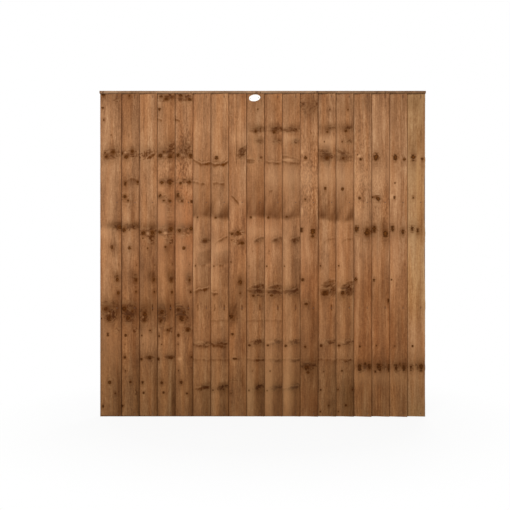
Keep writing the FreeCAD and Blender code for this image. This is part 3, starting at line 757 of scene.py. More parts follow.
def spikes(board, across, along):
    """Dark lines with a pale upper lip, each a branch cut lengthwise: a parabola between two points.

    Across the line the stain is a bell curve, narrow above and wider below, with a second, fainter strand
    above it and a soft glow round both. The lip is a bell curve just above the line. All fade at the ends.
    """
    stain_and_lap_shade = np.zeros(across.shape)
    lip = np.zeros(across.shape)
    for sizes in PLANK_OF[board].of("spike", board):
        first_along, first_across, last_along, last_across, sag, depth = sizes
        part = (across - first_across) / (last_across - first_across)
        line = first_along + (last_along - first_along) * part + 4 * sag * part * (1 - part)
        line = line + 3.5 * wander(across, 52, board * 31 + int(first_along))
        depth = depth * (0.9 + 0.5 * wander(across, 44, board * 37 + int(first_along)))
        inside = smooth_step(part, -0.05, 0.12) * smooth_step(1 - part, -0.05, 0.12)
        above = along - line
        width = np.where(above > 0, 4.5, 9.0) * (1 + 0.5 * wander(across, 50, board * 17 + int(last_along)))
        strand = above - 15 - 7 * wander(across, 60, board * 19 + int(last_along))
        stain_and_lap_shade += depth * inside * (1.1 * np.exp(-(above / width) ** 2) + 0.35 * np.exp(-(strand / 3.5) ** 2))
        stain_and_lap_shade += 0.25 * depth * inside * np.exp(-(above / 22) ** 2)
        lip += 0.3 * depth * inside * np.exp(-((above - 10) / 3.5) ** 2)
    return stain_and_lap_shade, lip


def lenses(board, across, along):
    """Leaning ovals of branch wood and their pale rims.

    Inside, the stain is even but for waves that run lengthwise, and it ends in a smooth step. The oval's
    radius wavers, and the rim is a bell curve just outside it.
    """
    stain_and_lap_shade = np.zeros(across.shape)
    rim = np.zeros(across.shape)
    for sizes in PLANK_OF[board].of("lens", board):
        middle_along, middle_across, (half_length, half_breadth, lean, depth) = jittered(board, sizes)
        turn = math.radians(lean)
        aside, above = across - middle_across, along - middle_along
        length = aside * math.cos(turn) + above * math.sin(turn)
        breadth = above * math.cos(turn) - aside * math.sin(turn)
        radius = np.hypot(length / half_length, breadth / half_breadth)
        radius = radius + 0.3 * wander(length + 2 * breadth, half_length, board * 23 + int(sizes[0]))
        waves = 0.8 + 0.3 * wander(breadth + 0.1 * length, half_breadth, board * 29 + int(sizes[1]))
        stain_and_lap_shade += depth * waves * smooth_step(1.35 - radius, 0, 0.7)
        rim += 0.25 * depth * np.exp(-((radius - 1.3) / 0.16) ** 2)
    return stain_and_lap_shade, rim


def nail_marks(board, across, along):
    """Dark upright splits at the nails: narrow bell curves across, flat-topped along."""
    total = np.zeros(across.shape)
    for rail, strength in SPLITS.items():
        x, _, z = NAIL_ROWS[rail][board - 1] / MM
        thin_back, thick_back = CORNERS[board][0] / MM, CORNERS[board][1] / MM
        nail_across = (x - thin_back[0]) / (thick_back[0] - thin_back[0]) * BOARD_WIDTH
        chance = np.random.default_rng(board * 53 + int(z))
        shown = strength if rail != "lower_rail" or board in SPLIT_BOARDS else FAINT_SPLIT
        half_height = 5 + 11 * shown * chance.uniform(0.8, 1.3)
        above = (along - z - 3) / half_height
        total += 1.5 * shown * np.exp(-((across - nail_across) / 3.2) ** 2 - above ** 4)
    return total


def dark_band(board, across, along):
    """The band across the middle plank: it deepens downwards and ends softly at a slightly bowed line.

    On three boards a pale flame of younger wood reaches down into it left of the middle, so there the band
    is thin in the middle and tall towards both edges. Along a slant it is uneven, as a wandering line is.
    """
    if board not in MIDDLE_PLANK.boards:
        return np.zeros(across.shape)
    line = BAND_FOOT + 9 * np.sin(across / 30 + 2 * board) + (4 if board < 12 else -10)
    above = along - line
    slant = across - 0.5 * above
    flame = 1.0 if board in FLAME_BOARDS else 0.25
    tall = 110 - 70 * flame
    tall = tall + 85 * flame * smooth_step(np.abs(slant - 50 - 8 * math.sin(5 * board)), 0, 56)
    edge = 15 + 7 * wander(across, 70, board * 41)
    depth = smooth_step(above, -edge, edge + 3) * np.exp(-((np.clip(above, 0, None) / tall) ** 1.4))
    uneven = 0.86 + 0.4 * wander(slant, 110, board * 43) + 0.1 * smooth_step(slant, 10, 100)
    return depth * uneven


def waney_edge(along):
    """The last board's free edge: two long shallow hollows, and small bumps where knots come through it."""
    hollow = np.zeros(along.shape)
    for foot, head in ((1080, 1360), (770, 955)):
        hollow -= 4.0 * smooth_step(along, foot - 30, foot + 30) * smooth_step(head - along, -30, 30)
    for knot in (1444, 1027, 836, 640, 616, 278):
        hollow += 3.0 * np.exp(-((along - knot) / 9) ** 2)
    return np.minimum(hollow, 1.2)


def board_tones(board, across, along, halo, spike_stain, spike_lips):
    """Clots, shade, pale and curl over a board, and its red-brown stain with painted lap shadow in it:
    weighted sums of its marks.
    """
    lens_stain, lens_rims = lenses(board, across, along)
    whorls = smear(board, "smudge", across, along)
    band = dark_band(board, across, along)
    clots = 0.65 * whorls + 0.12 * spike_stain + 0.2 * lens_stain
    shade = smear(board, "shade", across, along) + 0.6 * band + patches(board, across, along)
    # The thick side stays damp longer, so it is darker low down
    damp_side = 0.16 if board in RIGHT_PLANK.boards else 0.28
    shade += 0.3 * halo + damp_side * smooth_step(across, 45, 122) * smooth_step(1000 - along, 0, 600)
    # The two sides meet in a soft wavering line, and differ most in the upper half
    thick_side = smooth_step(across + 8 * wander(along, 420, board * 7 + 8), 50, 90)
    upper = 0.3 + 0.7 * np.exp(-((along - 1100) / 360) ** 2)
    two_tone = TWO_TONE[board] * upper * (1 - 0.7 * band)
    shade += 0.4 * two_tone * thick_side
    pale = smear(board, "pale", across, along) + spike_lips + lens_rims
    pale += 0.36 * two_tone * (1 - thick_side)
    curl = smear(board, "curl", across, along)
    stain_and_lap_shade = spike_stain + lens_stain + nail_marks(board, across, along)
    stain_and_lap_shade += 0.55 * whorls + 0.55 * band + 0.25 * halo
    # Along both sides of each lap lie painted shadow of the overlap and gathered dip: a bell curve on one
    # board, a step at the other's edge
    head_lap_shade, foot_lap_shade = LAP_SHADE_AND_DIP.get(board, (0, 0))
    lap_shade_and_dip = foot_lap_shade + (head_lap_shade - foot_lap_shade) * smooth_step(along, 350, 1350)
    stain_and_lap_shade += lap_shade_and_dip * np.exp(-((across - HIDDEN - 1.5) / 2.6) ** 2)
    stain_and_lap_shade += 0.35 * smooth_step(across, BOARD_WIDTH - 3, BOARD_WIDTH)
    limits = ((clots, 1.2), (shade, 1.2), (pale, 1), (curl, 1))
    tone = np.stack([np.clip(values, 0, most) for values, most in limits], axis=-1)
    return tone, np.clip(stain_and_lap_shade, 0, 1.1)


def board_stock(board, along):
    """Seed, paleness, redness and streaks over a board: bell curves along it make some stretches redder."""
    red = np.zeros(along.shape)
    for middle, reach, amount in RED_STRETCHES.get(board, []):
        red += amount * np.exp(-((along - middle) / reach) ** 2)
    # The red tint darkens the wood as well, so redder stretches are paled a little
    paleness = PALENESS[board] + 0.15 * red
    redness = REDNESS.get(board, 0.0) + red
    streaks = STREAKS.get(board, 0.52)
    return np.stack(np.broadcast_arrays(board * 3.7, paleness, redness, streaks), axis=-1)


def board_piece(board, material):
    """One feather-edge board: its section carried up, with worn arrises, wandering edges, lifted knots and
    a thick edge that stands off a little between the rails."""
    node = f"board_{board:02d}"
    low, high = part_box(node)
    thin_back, thick_back, thick_front, thin_front = (corner / MM for corner in CORNERS[board])
    rows = gathered_rows(low[2] / MM, high[2] / MM, *sharp_places(board))
    base, level, wear_across, wear_depth = board_columns()
    along = rows[:, None] + np.zeros(len(base))[None, :]
    wear = ARRIS * (1 + 0.55 * wander(rows, 210, board * 7 + 1) + 0.35 * wander(rows, 37, board * 7 + 2))
    edge = 0.7 * wander(rows, 640, board * 7 + 3) + 0.25 * wander(rows, 90, board * 7 + 4)
    if board == BOARDS:
        edge = edge + waney_edge(rows)
    across = base + wear_across * wear[:, None] + edge[:, None] * (base / BOARD_WIDTH) ** 3
    part = across / BOARD_WIDTH
    thin_side = np.linalg.norm(thin_front - thin_back)
    thick_side = np.linalg.norm(thick_front - thick_back)
    thick = thin_side * (1 - part) + thick_side * part
    depth = level + wear_depth * wear[:, None] / thick
    back = thin_back + part[..., None] * (thick_back - thin_back)
    front = thin_front + part[..., None] * (thick_front - thin_front)
    place = back + depth[..., None] * (front - back)

    rings, nearest, halo = ring_field(board, across, along)
    spike_stain, spike_lips = spikes(board, across, along)
    is_front = level > 0.5
    bays = len(RAILS) - 1
    between_rails = 0.5 - 0.5 * np.cos(2 * math.pi * bays * rows / CAP_UNDERSIDE)
    stand_off = 0.8 * between_rails * (0.5 + 0.5 * wander(rows, 900, board * 7 + 5))
    knot_lift = 0.35 * np.exp(-(nearest / 1.1) ** 2)
    swell = 0.22 * wander(along + 0.4 * across, 130, board * 7 + 6)
    relief = (knot_lift + swell - 0.1 * spike_stain) * smooth_step(across, HIDDEN, HIDDEN + 4) * is_front
    place[..., 1] -= relief + stand_off[:, None] * part ** 2
    foot_cut = np.random.default_rng(board * 7 + 7).uniform(0, 1.2) + 1.0 * (1 - part)
    upright = along + foot_cut * np.exp(-(along - rows[0]) / 40)
    points = np.concatenate([place, upright[..., None]], axis=-1) * MM

    tone, stain_and_lap_shade = board_tones(board, across, along, halo, spike_stain, spike_lips)
    figure = np.stack([rings + 0.9 * (1 - depth) * thick, along, nearest], axis=-1)
    stock = board_stock(board, along)
    name = f"feather_edge_board_{board:02d}"
    piece = timber_piece(name, points, figure, tone, stain_and_lap_shade * is_front, stock, material)
    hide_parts(node)


# Rails, end battens and cap

X_AXIS, Z_AXIS = 0, 2
BATTEN_KNOTS = 7


def rounded_section(corners, steps):
    """Points round a four-cornered section, in the corners' order.

    Along each side the points run evenly between the two arrises. Each arris has three points: where the
    wear begins on one side, its middle, and where it ends on the next. The second array says how far a
    wear of one millimetre moves each point.
    """
    corners = np.array(corners, dtype=float)
    ahead = np.roll(corners, -1, axis=0) - corners
    ahead = ahead / np.linalg.norm(ahead, axis=1)[:, None]
    places, shifts = [], []
    for side in range(4):
        after = (side + 1) % 4
        parts = np.linspace(0, 1, steps[side] + 1)[:, None]
        places += [corners[side] * (1 - parts) + corners[after] * parts, corners[after][None, :]]
        shift = ahead[side] * np.where(parts == 0, 1, np.where(parts == 1, -1, 0))
        shifts += [shift, 0.3 * (ahead[after] - ahead[side])[None, :]]
    return np.concatenate(places), np.concatenate(shifts)


def batten_piece(name, node, axis, seed, material, wear=1.0, column=6.0, tones=None):
    """A sawn batten: a rectangular section with worn arrises, carried along X or up Z.

    Its faces swell by a slow wave, and chance knots go right through it. Points round the section stand a
    column apart, and tones gives what else lies on it.
    """
    low, high = (np.array(corner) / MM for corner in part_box(node))
    first, second = (1, 2) if axis == X_AXIS else (0, 1)
    left, right, front, back = low[first], high[first], low[second], high[second]
    if axis == X_AXIS:
        corners = [(left, back), (left, front), (right, front), (right, back)]
    else:
        corners = [(left, front), (right, front), (right, back), (left, back)]
    spans = np.linalg.norm(np.roll(corners, -1, axis=0) - np.array(corners), axis=1)
    places, shifts = rounded_section(corners, np.maximum(2, np.round(spans / column)).astype(int))

    chance = np.random.default_rng(seed)
    length = high[axis] - low[axis]
    knot_along = chance.uniform(0.02, 0.98, BATTEN_KNOTS) * length + low[axis]
    knot_ring = chance.uniform(places.sum(axis=1).min(), places.sum(axis=1).max(), BATTEN_KNOTS)
    knot_size = chance.uniform(3, 8, BATTEN_KNOTS)
    rows = gathered_rows(low[axis], high[axis], knot_along, knot_size * 1.7 + 3)
    worn = wear * (1 + 0.45 * wander(rows, 190, seed + 1) + 0.4 * wander(rows, 43, seed + 2))
    section = places[None, :, :] + shifts[None, :, :] * worn[:, None, None]
    middle = places.mean(axis=0)
    along = rows[:, None] + np.zeros(len(places))[None, :]
    swell = 1 + 0.012 * wander(along + 3 * places[:, 0], 420, seed + 3)
    section = middle + (section - middle) * np.minimum(swell, 1)[..., None]

    rings = section[..., 0] + 0.9 * section[..., 1]
    bent = rings.copy()
    nearest = np.full(rings.shape, 5.0)
    for knot in range(BATTEN_KNOTS):
        aside = rings - knot_ring[knot]
        above = along - knot_along[knot]
        nearest = np.minimum(nearest, np.hypot(aside, above / 1.2) / knot_size[knot])
        spread = aside ** 2 + (above / 2.4) ** 2 + 0.8 * knot_size[knot] ** 2
        bent -= aside * 1.5 * knot_size[knot] ** 2 / spread
    points = np.empty(rings.shape + (3,))
    points[..., axis] = along
    points[..., first] = section[..., 0]
    points[..., second] = section[..., 1]

    tone = np.zeros(rings.shape + (4,))
    tone[..., 0] = 0.35 * np.clip(wander(along + rings, 340, seed + 4), 0, 1)
    tone[..., 1] = 0.5 * np.clip(wander(along - rings, 520, seed + 5), 0, 1)
    if tones is not None:
        tone = tone + tones(points)
    figure = np.stack([bent, along, nearest], axis=-1)
    stain_and_lap_shade = np.zeros(rings.shape)
    stock = (seed * 1.3, 0, 0, 1)
    piece = timber_piece(name, points * MM, figure, np.clip(tone, 0, 1.2), stain_and_lap_shade, stock, material)
    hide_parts(node)


def cap_weather(points):
    """Weather on the cap: its shade deepens in a smooth step from left to right, with a smutty left end and
    small pale spots between."""
    x = points[..., 0]
    tone = np.zeros(points.shape[:-1] + (4,))
    tone[..., 0] = 0.9 * np.exp(-((x + 912) / 22) ** 2) + 0.15 * np.clip(wander(x, 120, 71), 0, 1)
    tone[..., 1] = 0.3 + 0.55 * smooth_step(x, -350, 880)
    tone[..., 2] = 0.3 * np.clip(wander(x + points[..., 1], 84, 73) - 0.25, 0, 1)
    return tone


# Nails and tag

NAIL_SIDES = 12
TAG_SIDES = 72
# Height of the tag's face inside its rim, in halves of its thickness
TAG_FACE = 0.72


def lathe(profile, turns):
    """A closed surface of revolution about the third axis: profile is (radius, height) from pole to pole.

    Both end points lie on the axis, so the first and last bands are triangles that meet in a pole.
    """
    angle = np.arange(turns) * 2 * math.pi / turns
    ring = np.stack([np.cos(angle), np.sin(angle)], axis=-1)
    inner = profile[1:-1]
    bands = np.concatenate(
        [inner[:, None, :1] * ring[None, :, :], np.broadcast_to(inner[:, None, 1:], (len(inner), turns, 1))],
        axis=-1,
    ).reshape(-1, 3)
    points = np.concatenate([bands, [[0, 0, profile[0, 1]]], [[0, 0, profile[-1, 1]]]])
    here = np.arange(turns)
    beside = (here + 1) % turns
    band = (np.arange(len(inner) - 1) * turns)[:, None]
    quads = np.stack([band + here, band + turns + here, band + turns + beside, band + beside], axis=-1)
    last = (len(inner) - 1) * turns
    first_pole = np.stack([np.full(turns, len(bands)), here, beside], axis=-1)
    last_pole = np.stack([np.full(turns, len(bands) + 1), last + beside, last + here], axis=-1)
    return points, [quads.reshape(-1, 4), np.concatenate([first_pole, last_pole])]


def aimed(outward):
    """Axes, as rows, of a frame whose third axis points outward, for each of several directions."""
    third = outward / np.linalg.norm(outward, axis=1)[:, None]
    helper = np.where(np.abs(third[:, 2:]) < 0.9, [[0.0, 0.0, 1.0]], [[1.0, 0.0, 0.0]])
    first = np.cross(helper, third)
    first = first / np.linalg.norm(first, axis=1)[:, None]
    return np.stack([first, np.cross(third, first), third], axis=1)


def nail_profile(head, shank, length):
    """A round wire nail from the crown of its slightly domed head to its point, in millimetres."""
    return np.array(
        [
            (0, 0.35), (0.55 * head, 0.28), (0.86 * head, 0.12), (head, -0.25), (0.96 * head, -0.9),
            (shank, -1.3), (shank, 2 * shank - length), (0, -length),
        ]
    )


def nails_piece(name, node, places, outward, profile, material):
    """Many nails in one mesh: one turned profile, copied by whole-array sums to each head's place."""
    shape, faces = lathe(profile * MM, NAIL_SIDES)
    spots = places[:, None, :] + np.einsum("pk,nkc->npc", shape, aimed(outward))
    starts = (np.arange(len(places)) * len(shape))[:, None, None]
    copies = [(face[None, :, :] + starts).reshape(-1, face.shape[1]) for face in faces]
    piece = put_mesh(name, spots.reshape(-1, 3), copies, material)
    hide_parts(node)


def board_nails(rail, material):
    """One row of board nails: each head lies on its board's sloping face where the row crosses it."""
    rows = NAIL_ROWS[rail]
    thin = np.array([CORNERS[board][3] for board in range(1, BOARDS + 1)])
    thick = np.array([CORNERS[board][2] for board in range(1, BOARDS + 1)])
    part = (rows[:, 0] - thin[:, 0]) / (thick[:, 0] - thin[:, 0])
    face = thin + part[:, None] * (thick - thin)
    places = np.stack([rows[:, 0], face[:, 1] - 0.25 * MM, rows[:, 2]], axis=-1)
    slope = thick - thin
    outward = np.stack([slope[:, 1], -slope[:, 0], np.zeros(BOARDS)], axis=-1)
    profile = nail_profile(3.0, 1.3, 26)
    nails_piece(rail + "_nail_heads", rail + "_nails", places, outward, profile, material)


def frame_nails(material):
    """The nails through the end battens, two to each rail end."""
    points = solid_points("frame_nails")
    places, outward = [], []
    for sign in (-1, 1):
        side = points[points[:, 0] * sign > 0]
        for group in clusters(side[:, 2], 5 * MM):
            middle = (side[group].min(axis=0) + side[group].max(axis=0)) / 2
            places.append((sign * (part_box("right_end_batten")[1][0] - 0.05 * MM), middle[1], middle[2]))
            outward.append((sign, 0.0, 0.0))
    profile = nail_profile(3.5, 1.5, 66)
    nails_piece("frame_nail_heads", "frame_nails", np.array(places), np.array(outward), profile, material)


def cap_nails(material):
    """The nails down through the cap."""
    places = nail_middles("cap_nails")
    places[:, 2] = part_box("cap_rail")[1][2] - 0.35 * MM
    outward = np.tile([0.0, 0.0, 1.0], (len(places), 1))
    nails_piece("cap_nail_heads", "cap_nails", places, outward, nail_profile(3.0, 1.3, 40), material)


def tag_axes():
    """Middle, long axis, short axis and outward direction of the tag, by the spread of its solid's points."""
    points = solid_points("blank_oval_tag")
    middle = (points.max(axis=0) + points.min(axis=0)) / 2
    _, _, axes = np.linalg.svd(points - points.mean(axis=0), full_matrices=False)
    long_axis = axes[0] * np.sign(axes[0][0])
    outward = axes[2] * -np.sign(axes[2][1])
    return middle, long_axis, np.cross(outward, long_axis), outward


def oval_tag(material):
    """A thin moulded oval: a turned profile with a low rim and rounded edge, stretched to two half axes."""
    middle, long_axis, short_axis, outward = tag_axes()
    points = solid_points("blank_oval_tag") - middle
    half_long, half_short, half_thick = (
        np.abs(points @ axis).max() for axis in (long_axis, short_axis, outward)
    )
    profile = np.array(
        [
            (0, TAG_FACE), (0.3, TAG_FACE), (0.6, 0.7), (0.8, 0.68), (0.875, 0.68), (0.905, 0.8),
            (0.925, 0.97), (0.95, 1.0), (0.975, 0.95), (0.992, 0.7), (1.0, 0.3), (1.0, -0.6),
            (0.985, -0.95), (0.95, -1.0), (0.5, -1.0), (0, -1.0),
        ]
    )
    shape, faces = lathe(profile, TAG_SIDES)
    shape = shape * np.array([half_long, half_short, half_thick])
    places = middle + shape @ np.stack([long_axis, short_axis, outward])
    piece = put_mesh("blank_oval_tag_moulding", places, faces, material)
    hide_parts("blank_oval_tag")


def tag_pins(material):
    """The two small pins that hold the tag, domed heads on its face."""
    middle, long_axis, _, outward = tag_axes()
    pins = nail_middles("tag_pins")
    reach = np.abs((solid_points("blank_oval_tag") - middle) @ outward).max()
    along = (pins - middle) @ long_axis
    places = middle + along[:, None] * long_axis + TAG_FACE * reach * outward
    head = [(0, 0.75), (0.9, 0.68), (1.5, 0.42), (1.8, 0.08), (1.75, -0.1)]
    shank = [(0.6, -0.2), (0.6, -8), (0, -9)]
    outwards = np.tile(outward, (len(places), 1))
    nails_piece("tag_pin_heads", "tag_pins", places, outwards, np.array(head + shank), material)


# Stage, light and camera, in metres

# Breadth of the soft lights, and where they look
SOFTBOX = 2.4
LIT_POINT = (0, 0, 1.0)
# The camera's place across and up, the place of the boards' faces, how far it stands from them, and how
# wide a view it takes in there
CAMERA_X = -0.043
CAMERA_Z = 0.9084
FACE_Y = -0.013
FACE_DISTANCE = 4.4
VIEW_WIDTH = 2.862
SENSOR_MM = 36.0


def seen_as_white(tree):
    """One for the rays that see the stage as plain white: from the camera, off gloss and through glass."""
    path = add(tree, "ShaderNodeLightPath").outputs
    seen = path["Is Camera Ray"]
    for kind in ("Is Glossy Ray", "Is Transmission Ray"):
        seen = add(tree, MATH, {0: seen, 1: path[kind]}, operation="MAXIMUM")
    return seen


def stage_floor():
    """A wide pale floor that keeps a soft shadow under the panel and looks white to the camera."""
    half = 30.0
    points = [(-half, -half, 0), (half, -half, 0), (half, half, 0), (-half, half, 0)]
    material = new_material("pale_studio_floor")
    tree = material.node_tree
    # The shadow shows within about a metre of the panel, and farther off the floor is plain white
    away = add(tree, VECTOR, {0: add(tree, COORDINATES).outputs["Object"]}, operation="LENGTH")
    clear = add(
        tree, RANGE,
        {"Value": away.outputs["Value"], "From Min": 0.8, "From Max": 1.6, "To Min": 0.9, "To Max": 1.0},
    )
    share = add(tree, MATH, {0: seen_as_white(tree), 1: clear}, operation="MULTIPLY")
    matt = add(tree, "ShaderNodeBsdfDiffuse", {"Color": linear("#D8D8D6")})
    white = add(tree, "ShaderNodeEmission", {"Color": linear("#FFFFFF"), "Strength": 1.0})
    mixed = add(tree, "ShaderNodeMixShader", {0: share, 1: matt, 2: white})
    add(tree, SURFACE, {"Surface": mixed})
    mesh = bpy.data.meshes.new("studio_floor")
    mesh.from_pydata(points, [], [(0, 1, 2, 3)])
    mesh.materials.append(material)
    floor = bpy.data.objects.new("studio_floor", mesh)
    bpy.context.scene.collection.objects.link(floor)


def area_light(name, place, watts):
    """A round soft light that looks at the panel and isn't seen itself."""
    lamp = bpy.data.lights.new(name, "AREA")
    lamp.shape = "DISK"
    lamp.size = SOFTBOX
    lamp.energy = watts
    holder = bpy.data.objects.new(name, lamp)
    holder.location = place
    holder.rotation_euler = (Vector(LIT_POINT) - Vector(place)).to_track_quat("-Z", "Y").to_euler()
    holder.visible_camera = False
    bpy.context.scene.collection.objects.link(holder)


def world_light(strength):
    """A white surround that the camera sees at full white and the panel feels as even light."""
    world = bpy.data.worlds.new("white_surround")
    world.use_nodes = True
    tree = world.node_tree
    tree.nodes.clear()
    level = add(tree, RANGE, {"Value": seen_as_white(tree), "To Min": strength, "To Max": 1.0})
    backdrop = add(tree, "ShaderNodeBackground", {"Color": linear("#FFFFFF"), "Strength": level})
    add(tree, "ShaderNodeOutputWorld", {"Surface": backdrop})
    bpy.context.scene.world = world


def front_camera():
    """Square to the boards, a little left of the middle, at half the panel's height."""
    data = bpy.data.cameras.new("front_camera")
    data.sensor_width = SENSOR_MM
    data.lens = SENSOR_MM * FACE_DISTANCE / VIEW_WIDTH
    camera = bpy.data.objects.new("front_camera", data)
    camera.location = (CAMERA_X, FACE_Y - FACE_DISTANCE, CAMERA_Z)
    camera.rotation_euler = (math.radians(90), 0, 0)
    bpy.context.scene.collection.objects.link(camera)
    bpy.context.scene.camera = camera


# Finishes


def sawn_softwood(name, dark, brown, honey, pale, end_axis, painted_foot_shade=True):
    """Rough-sawn spruce dipped in brown preservative.

    The saw leaves it matt and furry, the dip soaks unevenly, so growth rings show as soft upright streaks,
    knots as near-black ovals in a reddish halo, and a painted shade darkens the foot.
    """
    material = new_material(name)
    tree = material.node_tree
    figure, stock, tone, stain_and_lap_shade = (
        add(tree, ATTRIBUTE, attribute_name=key) for key in ("figure", "stock", "tone", "stain_and_lap_shade")
    )
    ring, along, knot = add(tree, SPLIT_VECTOR, {0: figure.outputs["Vector"]}).outputs
    seed, paleness, redness = add(tree, SPLIT_COLOUR, {0: stock.outputs["Color"]}).outputs
    clots, shade_mark, pale_mark = add(tree, SPLIT_COLOUR, {0: tone.outputs["Color"]}).outputs
    streaks = stock.outputs["Alpha"]
    curl = tone.outputs["Alpha"]

    # Curly grain: the ring coordinate wavers by about a millimetre, and by two where the board is curly
    plain = add(tree, JOIN_VECTOR, {0: ring, 1: along, 2: seed})
    wave_place = add(tree, VECTOR, {0: plain, 1: (1 / 26, 1 / 55, 3.1)}, operation="MULTIPLY")
    wave = add(tree, NOISE, {"Vector": wave_place, "Scale": 1.0, "Detail": 2.0, "Roughness": 0.5})
    sway = add(tree, MATH, {0: curl, 1: 4.0, 2: 5.0}, operation="MULTIPLY_ADD")
    centred = add(tree, MATH, {0: wave, 1: 0.5}, operation="SUBTRACT")
    swayed = add(tree, MATH, {0: centred, 1: sway, 2: ring}, operation="MULTIPLY_ADD")
    grain = add(tree, JOIN_VECTOR, {0: swayed, 1: along, 2: seed})

    # Patterns in the grain, or laid plainly over it: millimetres across and along it, the step from board
    # to board, detail, roughness and distortion
    patterns = {
        # Growth bands. Rings are 3 mm wide, too fine to show, so they are drawn twice as wide
        "band": (grain, 20, 900, 1.7, 2, 0.55, 0),
        "rings": (grain, 6.5, 280, 2.3, 3, 0.6, 0),
        # Torn fibres are 0.1 mm wide, too fine to show, so they are drawn 1.2 mm wide
        "fibre": (grain, 1.2, 35, 4.9, 3, 0.6, 0),
        # Uneven soaking of the dip in patches, and mottling in specks
        "soak": (plain, 50, 240, 5.3, 3, 0.55, 0),
        "mottle": (plain, 8, 10, 6.1, 2, 0.6, 0),
        # Furry strokes left by the saw, and stretches that it tore more than others
        "fur": (plain, 5, 36, 8.3, 2, 0.7, 0),
        "torn": (plain, 60, 300, 2.9, 2, 0.5, 0),
        # Upright flecks where the saw cut curly grain. They are 2 by 6 mm, too fine to show, so drawn larger
        "fleck": (plain, 5, 16, 3.7, 1, 0.5, 0),
        # Bands that took the dip warmer than others
        "warm": (grain, 34, 520, 9.1, 2, 0.5, 0),
        # Clots of resin and bark about 8 mm across, with clear wood between
        "clot": (plain, 15, 13, 5.9, 2, 0.55, 0.6),
        # Band-saw marks every 3 mm or so
        "saw": (plain, 60, 3, 7.7, 1, 0.5, 0),
    }
    noise = {}
    for pattern, (coordinates, wide, long, step, detail, rough, distortion) in patterns.items():
        place = add(tree, VECTOR, {0: coordinates, 1: (1 / wide, 1 / long, step)}, operation="MULTIPLY")
        sizes = {"Scale": 1.0, "Detail": detail, "Roughness": rough, "Distortion": distortion}
        noise[pattern] = add(tree, NOISE, {"Vector": place, **sizes})

    # How light the wood is: a sum of swings about a middle value
    tearing = add(
        tree, RANGE,
        {"Value": noise["torn"], "From Min": 0.35, "From Max": 0.65, "To Min": 0.45, "To Max": 1.3},
    )
    shares = {"band": 0.62, "rings": 0.36, "fibre": 0.26, "soak": 0.62, "fur": 0.46, "mottle": 0.28}
    strengths = {"band": streaks, "rings": streaks, "fur": tearing}
    light = add(tree, MATH, {0: paleness, 1: 0.15, 2: 0.5}, operation="MULTIPLY_ADD")
    for pattern, share in shares.items():
        swing = add(tree, MATH, {0: noise[pattern], 1: 0.5}, operation="SUBTRACT")
        if pattern in strengths:
            swing = add(tree, MATH, {0: swing, 1: strengths[pattern]}, operation="MULTIPLY")
        light = add(tree, MATH, {0: swing, 1: share, 2: light}, operation="MULTIPLY_ADD")
    dash = add(
        tree, RANGE,
        {"Value": noise["fleck"], "From Min": 0.42, "From Max": 0.66, "To Min": 0.14, "To Max": -0.2},
    )
    light = add(tree, MATH, {0: dash, 1: curl, 2: light}, operation="MULTIPLY_ADD")
    stops = [(0.1, linear(dark)), (0.36, linear(brown)), (0.55, linear(honey)), (0.85, linear(pale))]
    wood = add(tree, RAMP, {0: light}, stops=stops)

    # Redness above nought tints the wood red, and below nought olive. A factor stops at nought
    red = add(tree, MATH, {0: redness, 1: 0.5}, operation="MULTIPLY")
    olive = add(tree, MATH, {0: redness, 1: -0.5}, operation="MULTIPLY")
    warmed = add(tree, RANGE, {"Value": noise["warm"], "From Min": 0.4, "From Max": 0.66, "To Max": 0.6})
    # Whorls: crisp clots stand closer together where the mark is stronger, with paler wood between
    crowd = add(tree, MATH, {0: clots, 1: 0.3, 2: noise["clot"]}, operation="MULTIPLY_ADD")
    within = add(tree, RANGE, {"Value": clots, "From Min": 0.05, "From Max": 0.3})
    gap = add(tree, RANGE, {"Value": crowd, "From Min": 0.6, "From Max": 0.48, "To Max": 0.35})
    between = add(tree, MATH, {0: gap, 1: within}, operation="MULTIPLY")
    lump = add(tree, RANGE, {"Value": crowd, "From Min": 0.56, "From Max": 0.8, "To Max": 0.86},
               interpolation_type="SMOOTHSTEP")
    clotted = add(tree, MATH, {0: lump, 1: within}, operation="MULTIPLY")
    # Branch wood, the stain round it and painted shadow along the laps: a smooth red-brown that the rings
    # still show through
    through = add(
        tree, RANGE,
        {"Value": noise["rings"], "From Min": 0.3, "From Max": 0.7, "To Min": 1.1, "To Max": 0.65},
    )
    stain_and_lap_shade_coat = add(tree, MATH, {0: stain_and_lap_shade.outputs["Fac"], 1: through}, operation="MULTIPLY", use_clamp=True)
    paled = add(tree, MATH, {0: pale_mark, 1: 0.55}, operation="MULTIPLY")
    # Knots with ragged edges: a soft reddish halo to two radii, a near-black rim at one, a brown heart
    ragged = knot
    for pattern, reach in (("mottle", 1.6), ("clot", 2.2)):
        swing = add(tree, MATH, {0: noise[pattern], 1: 0.5}, operation="SUBTRACT")
        ragged = add(tree, MATH, {0: swing, 1: reach, 2: ragged}, operation="MULTIPLY_ADD")
    halo = add(tree, RANGE, {"Value": ragged, "From Min": 2.1, "From Max": 0.8, "To Max": 0.5},
               interpolation_type="SMOOTHSTEP")
    heart = add(tree, RANGE, {"Value": ragged, "From Min": 1.2, "From Max": 0.75, "To Max": 0.9},
                interpolation_type="SMOOTHSTEP")
    knot_wood = add(tree, RAMP, {0: ragged},
                    stops=[(0.0, linear("#63370D")), (0.45, linear("#4C2605")), (0.8, linear("#3A1C02"))])

    # What lies over the wood, from the lowest coat up: how much of it, its colour, and how it blends.
    # Shade only dyes the wood deeper, so that shaded places keep their grain
    coats = [
        (red, linear("#F2CDAC"), "MULTIPLY"),
        (olive, linear("#E5F7B8"), "MULTIPLY"),
        (warmed, linear("#FFE9CE"), "MULTIPLY"),
        (between, linear("#BE956C"), "MIX"),
        (clotted, linear("#4C2404"), "MIX"),
        (stain_and_lap_shade_coat, linear("#5C2F07"), "MIX"),
        (shade_mark, linear("#B6AA99"), "MULTIPLY"),
        (paled, linear("#D4A275"), "MIX"),
        (halo, linear("#64370F"), "MIX"),
        (heart, knot_wood, "MIX"),
    ]
    if painted_foot_shade:
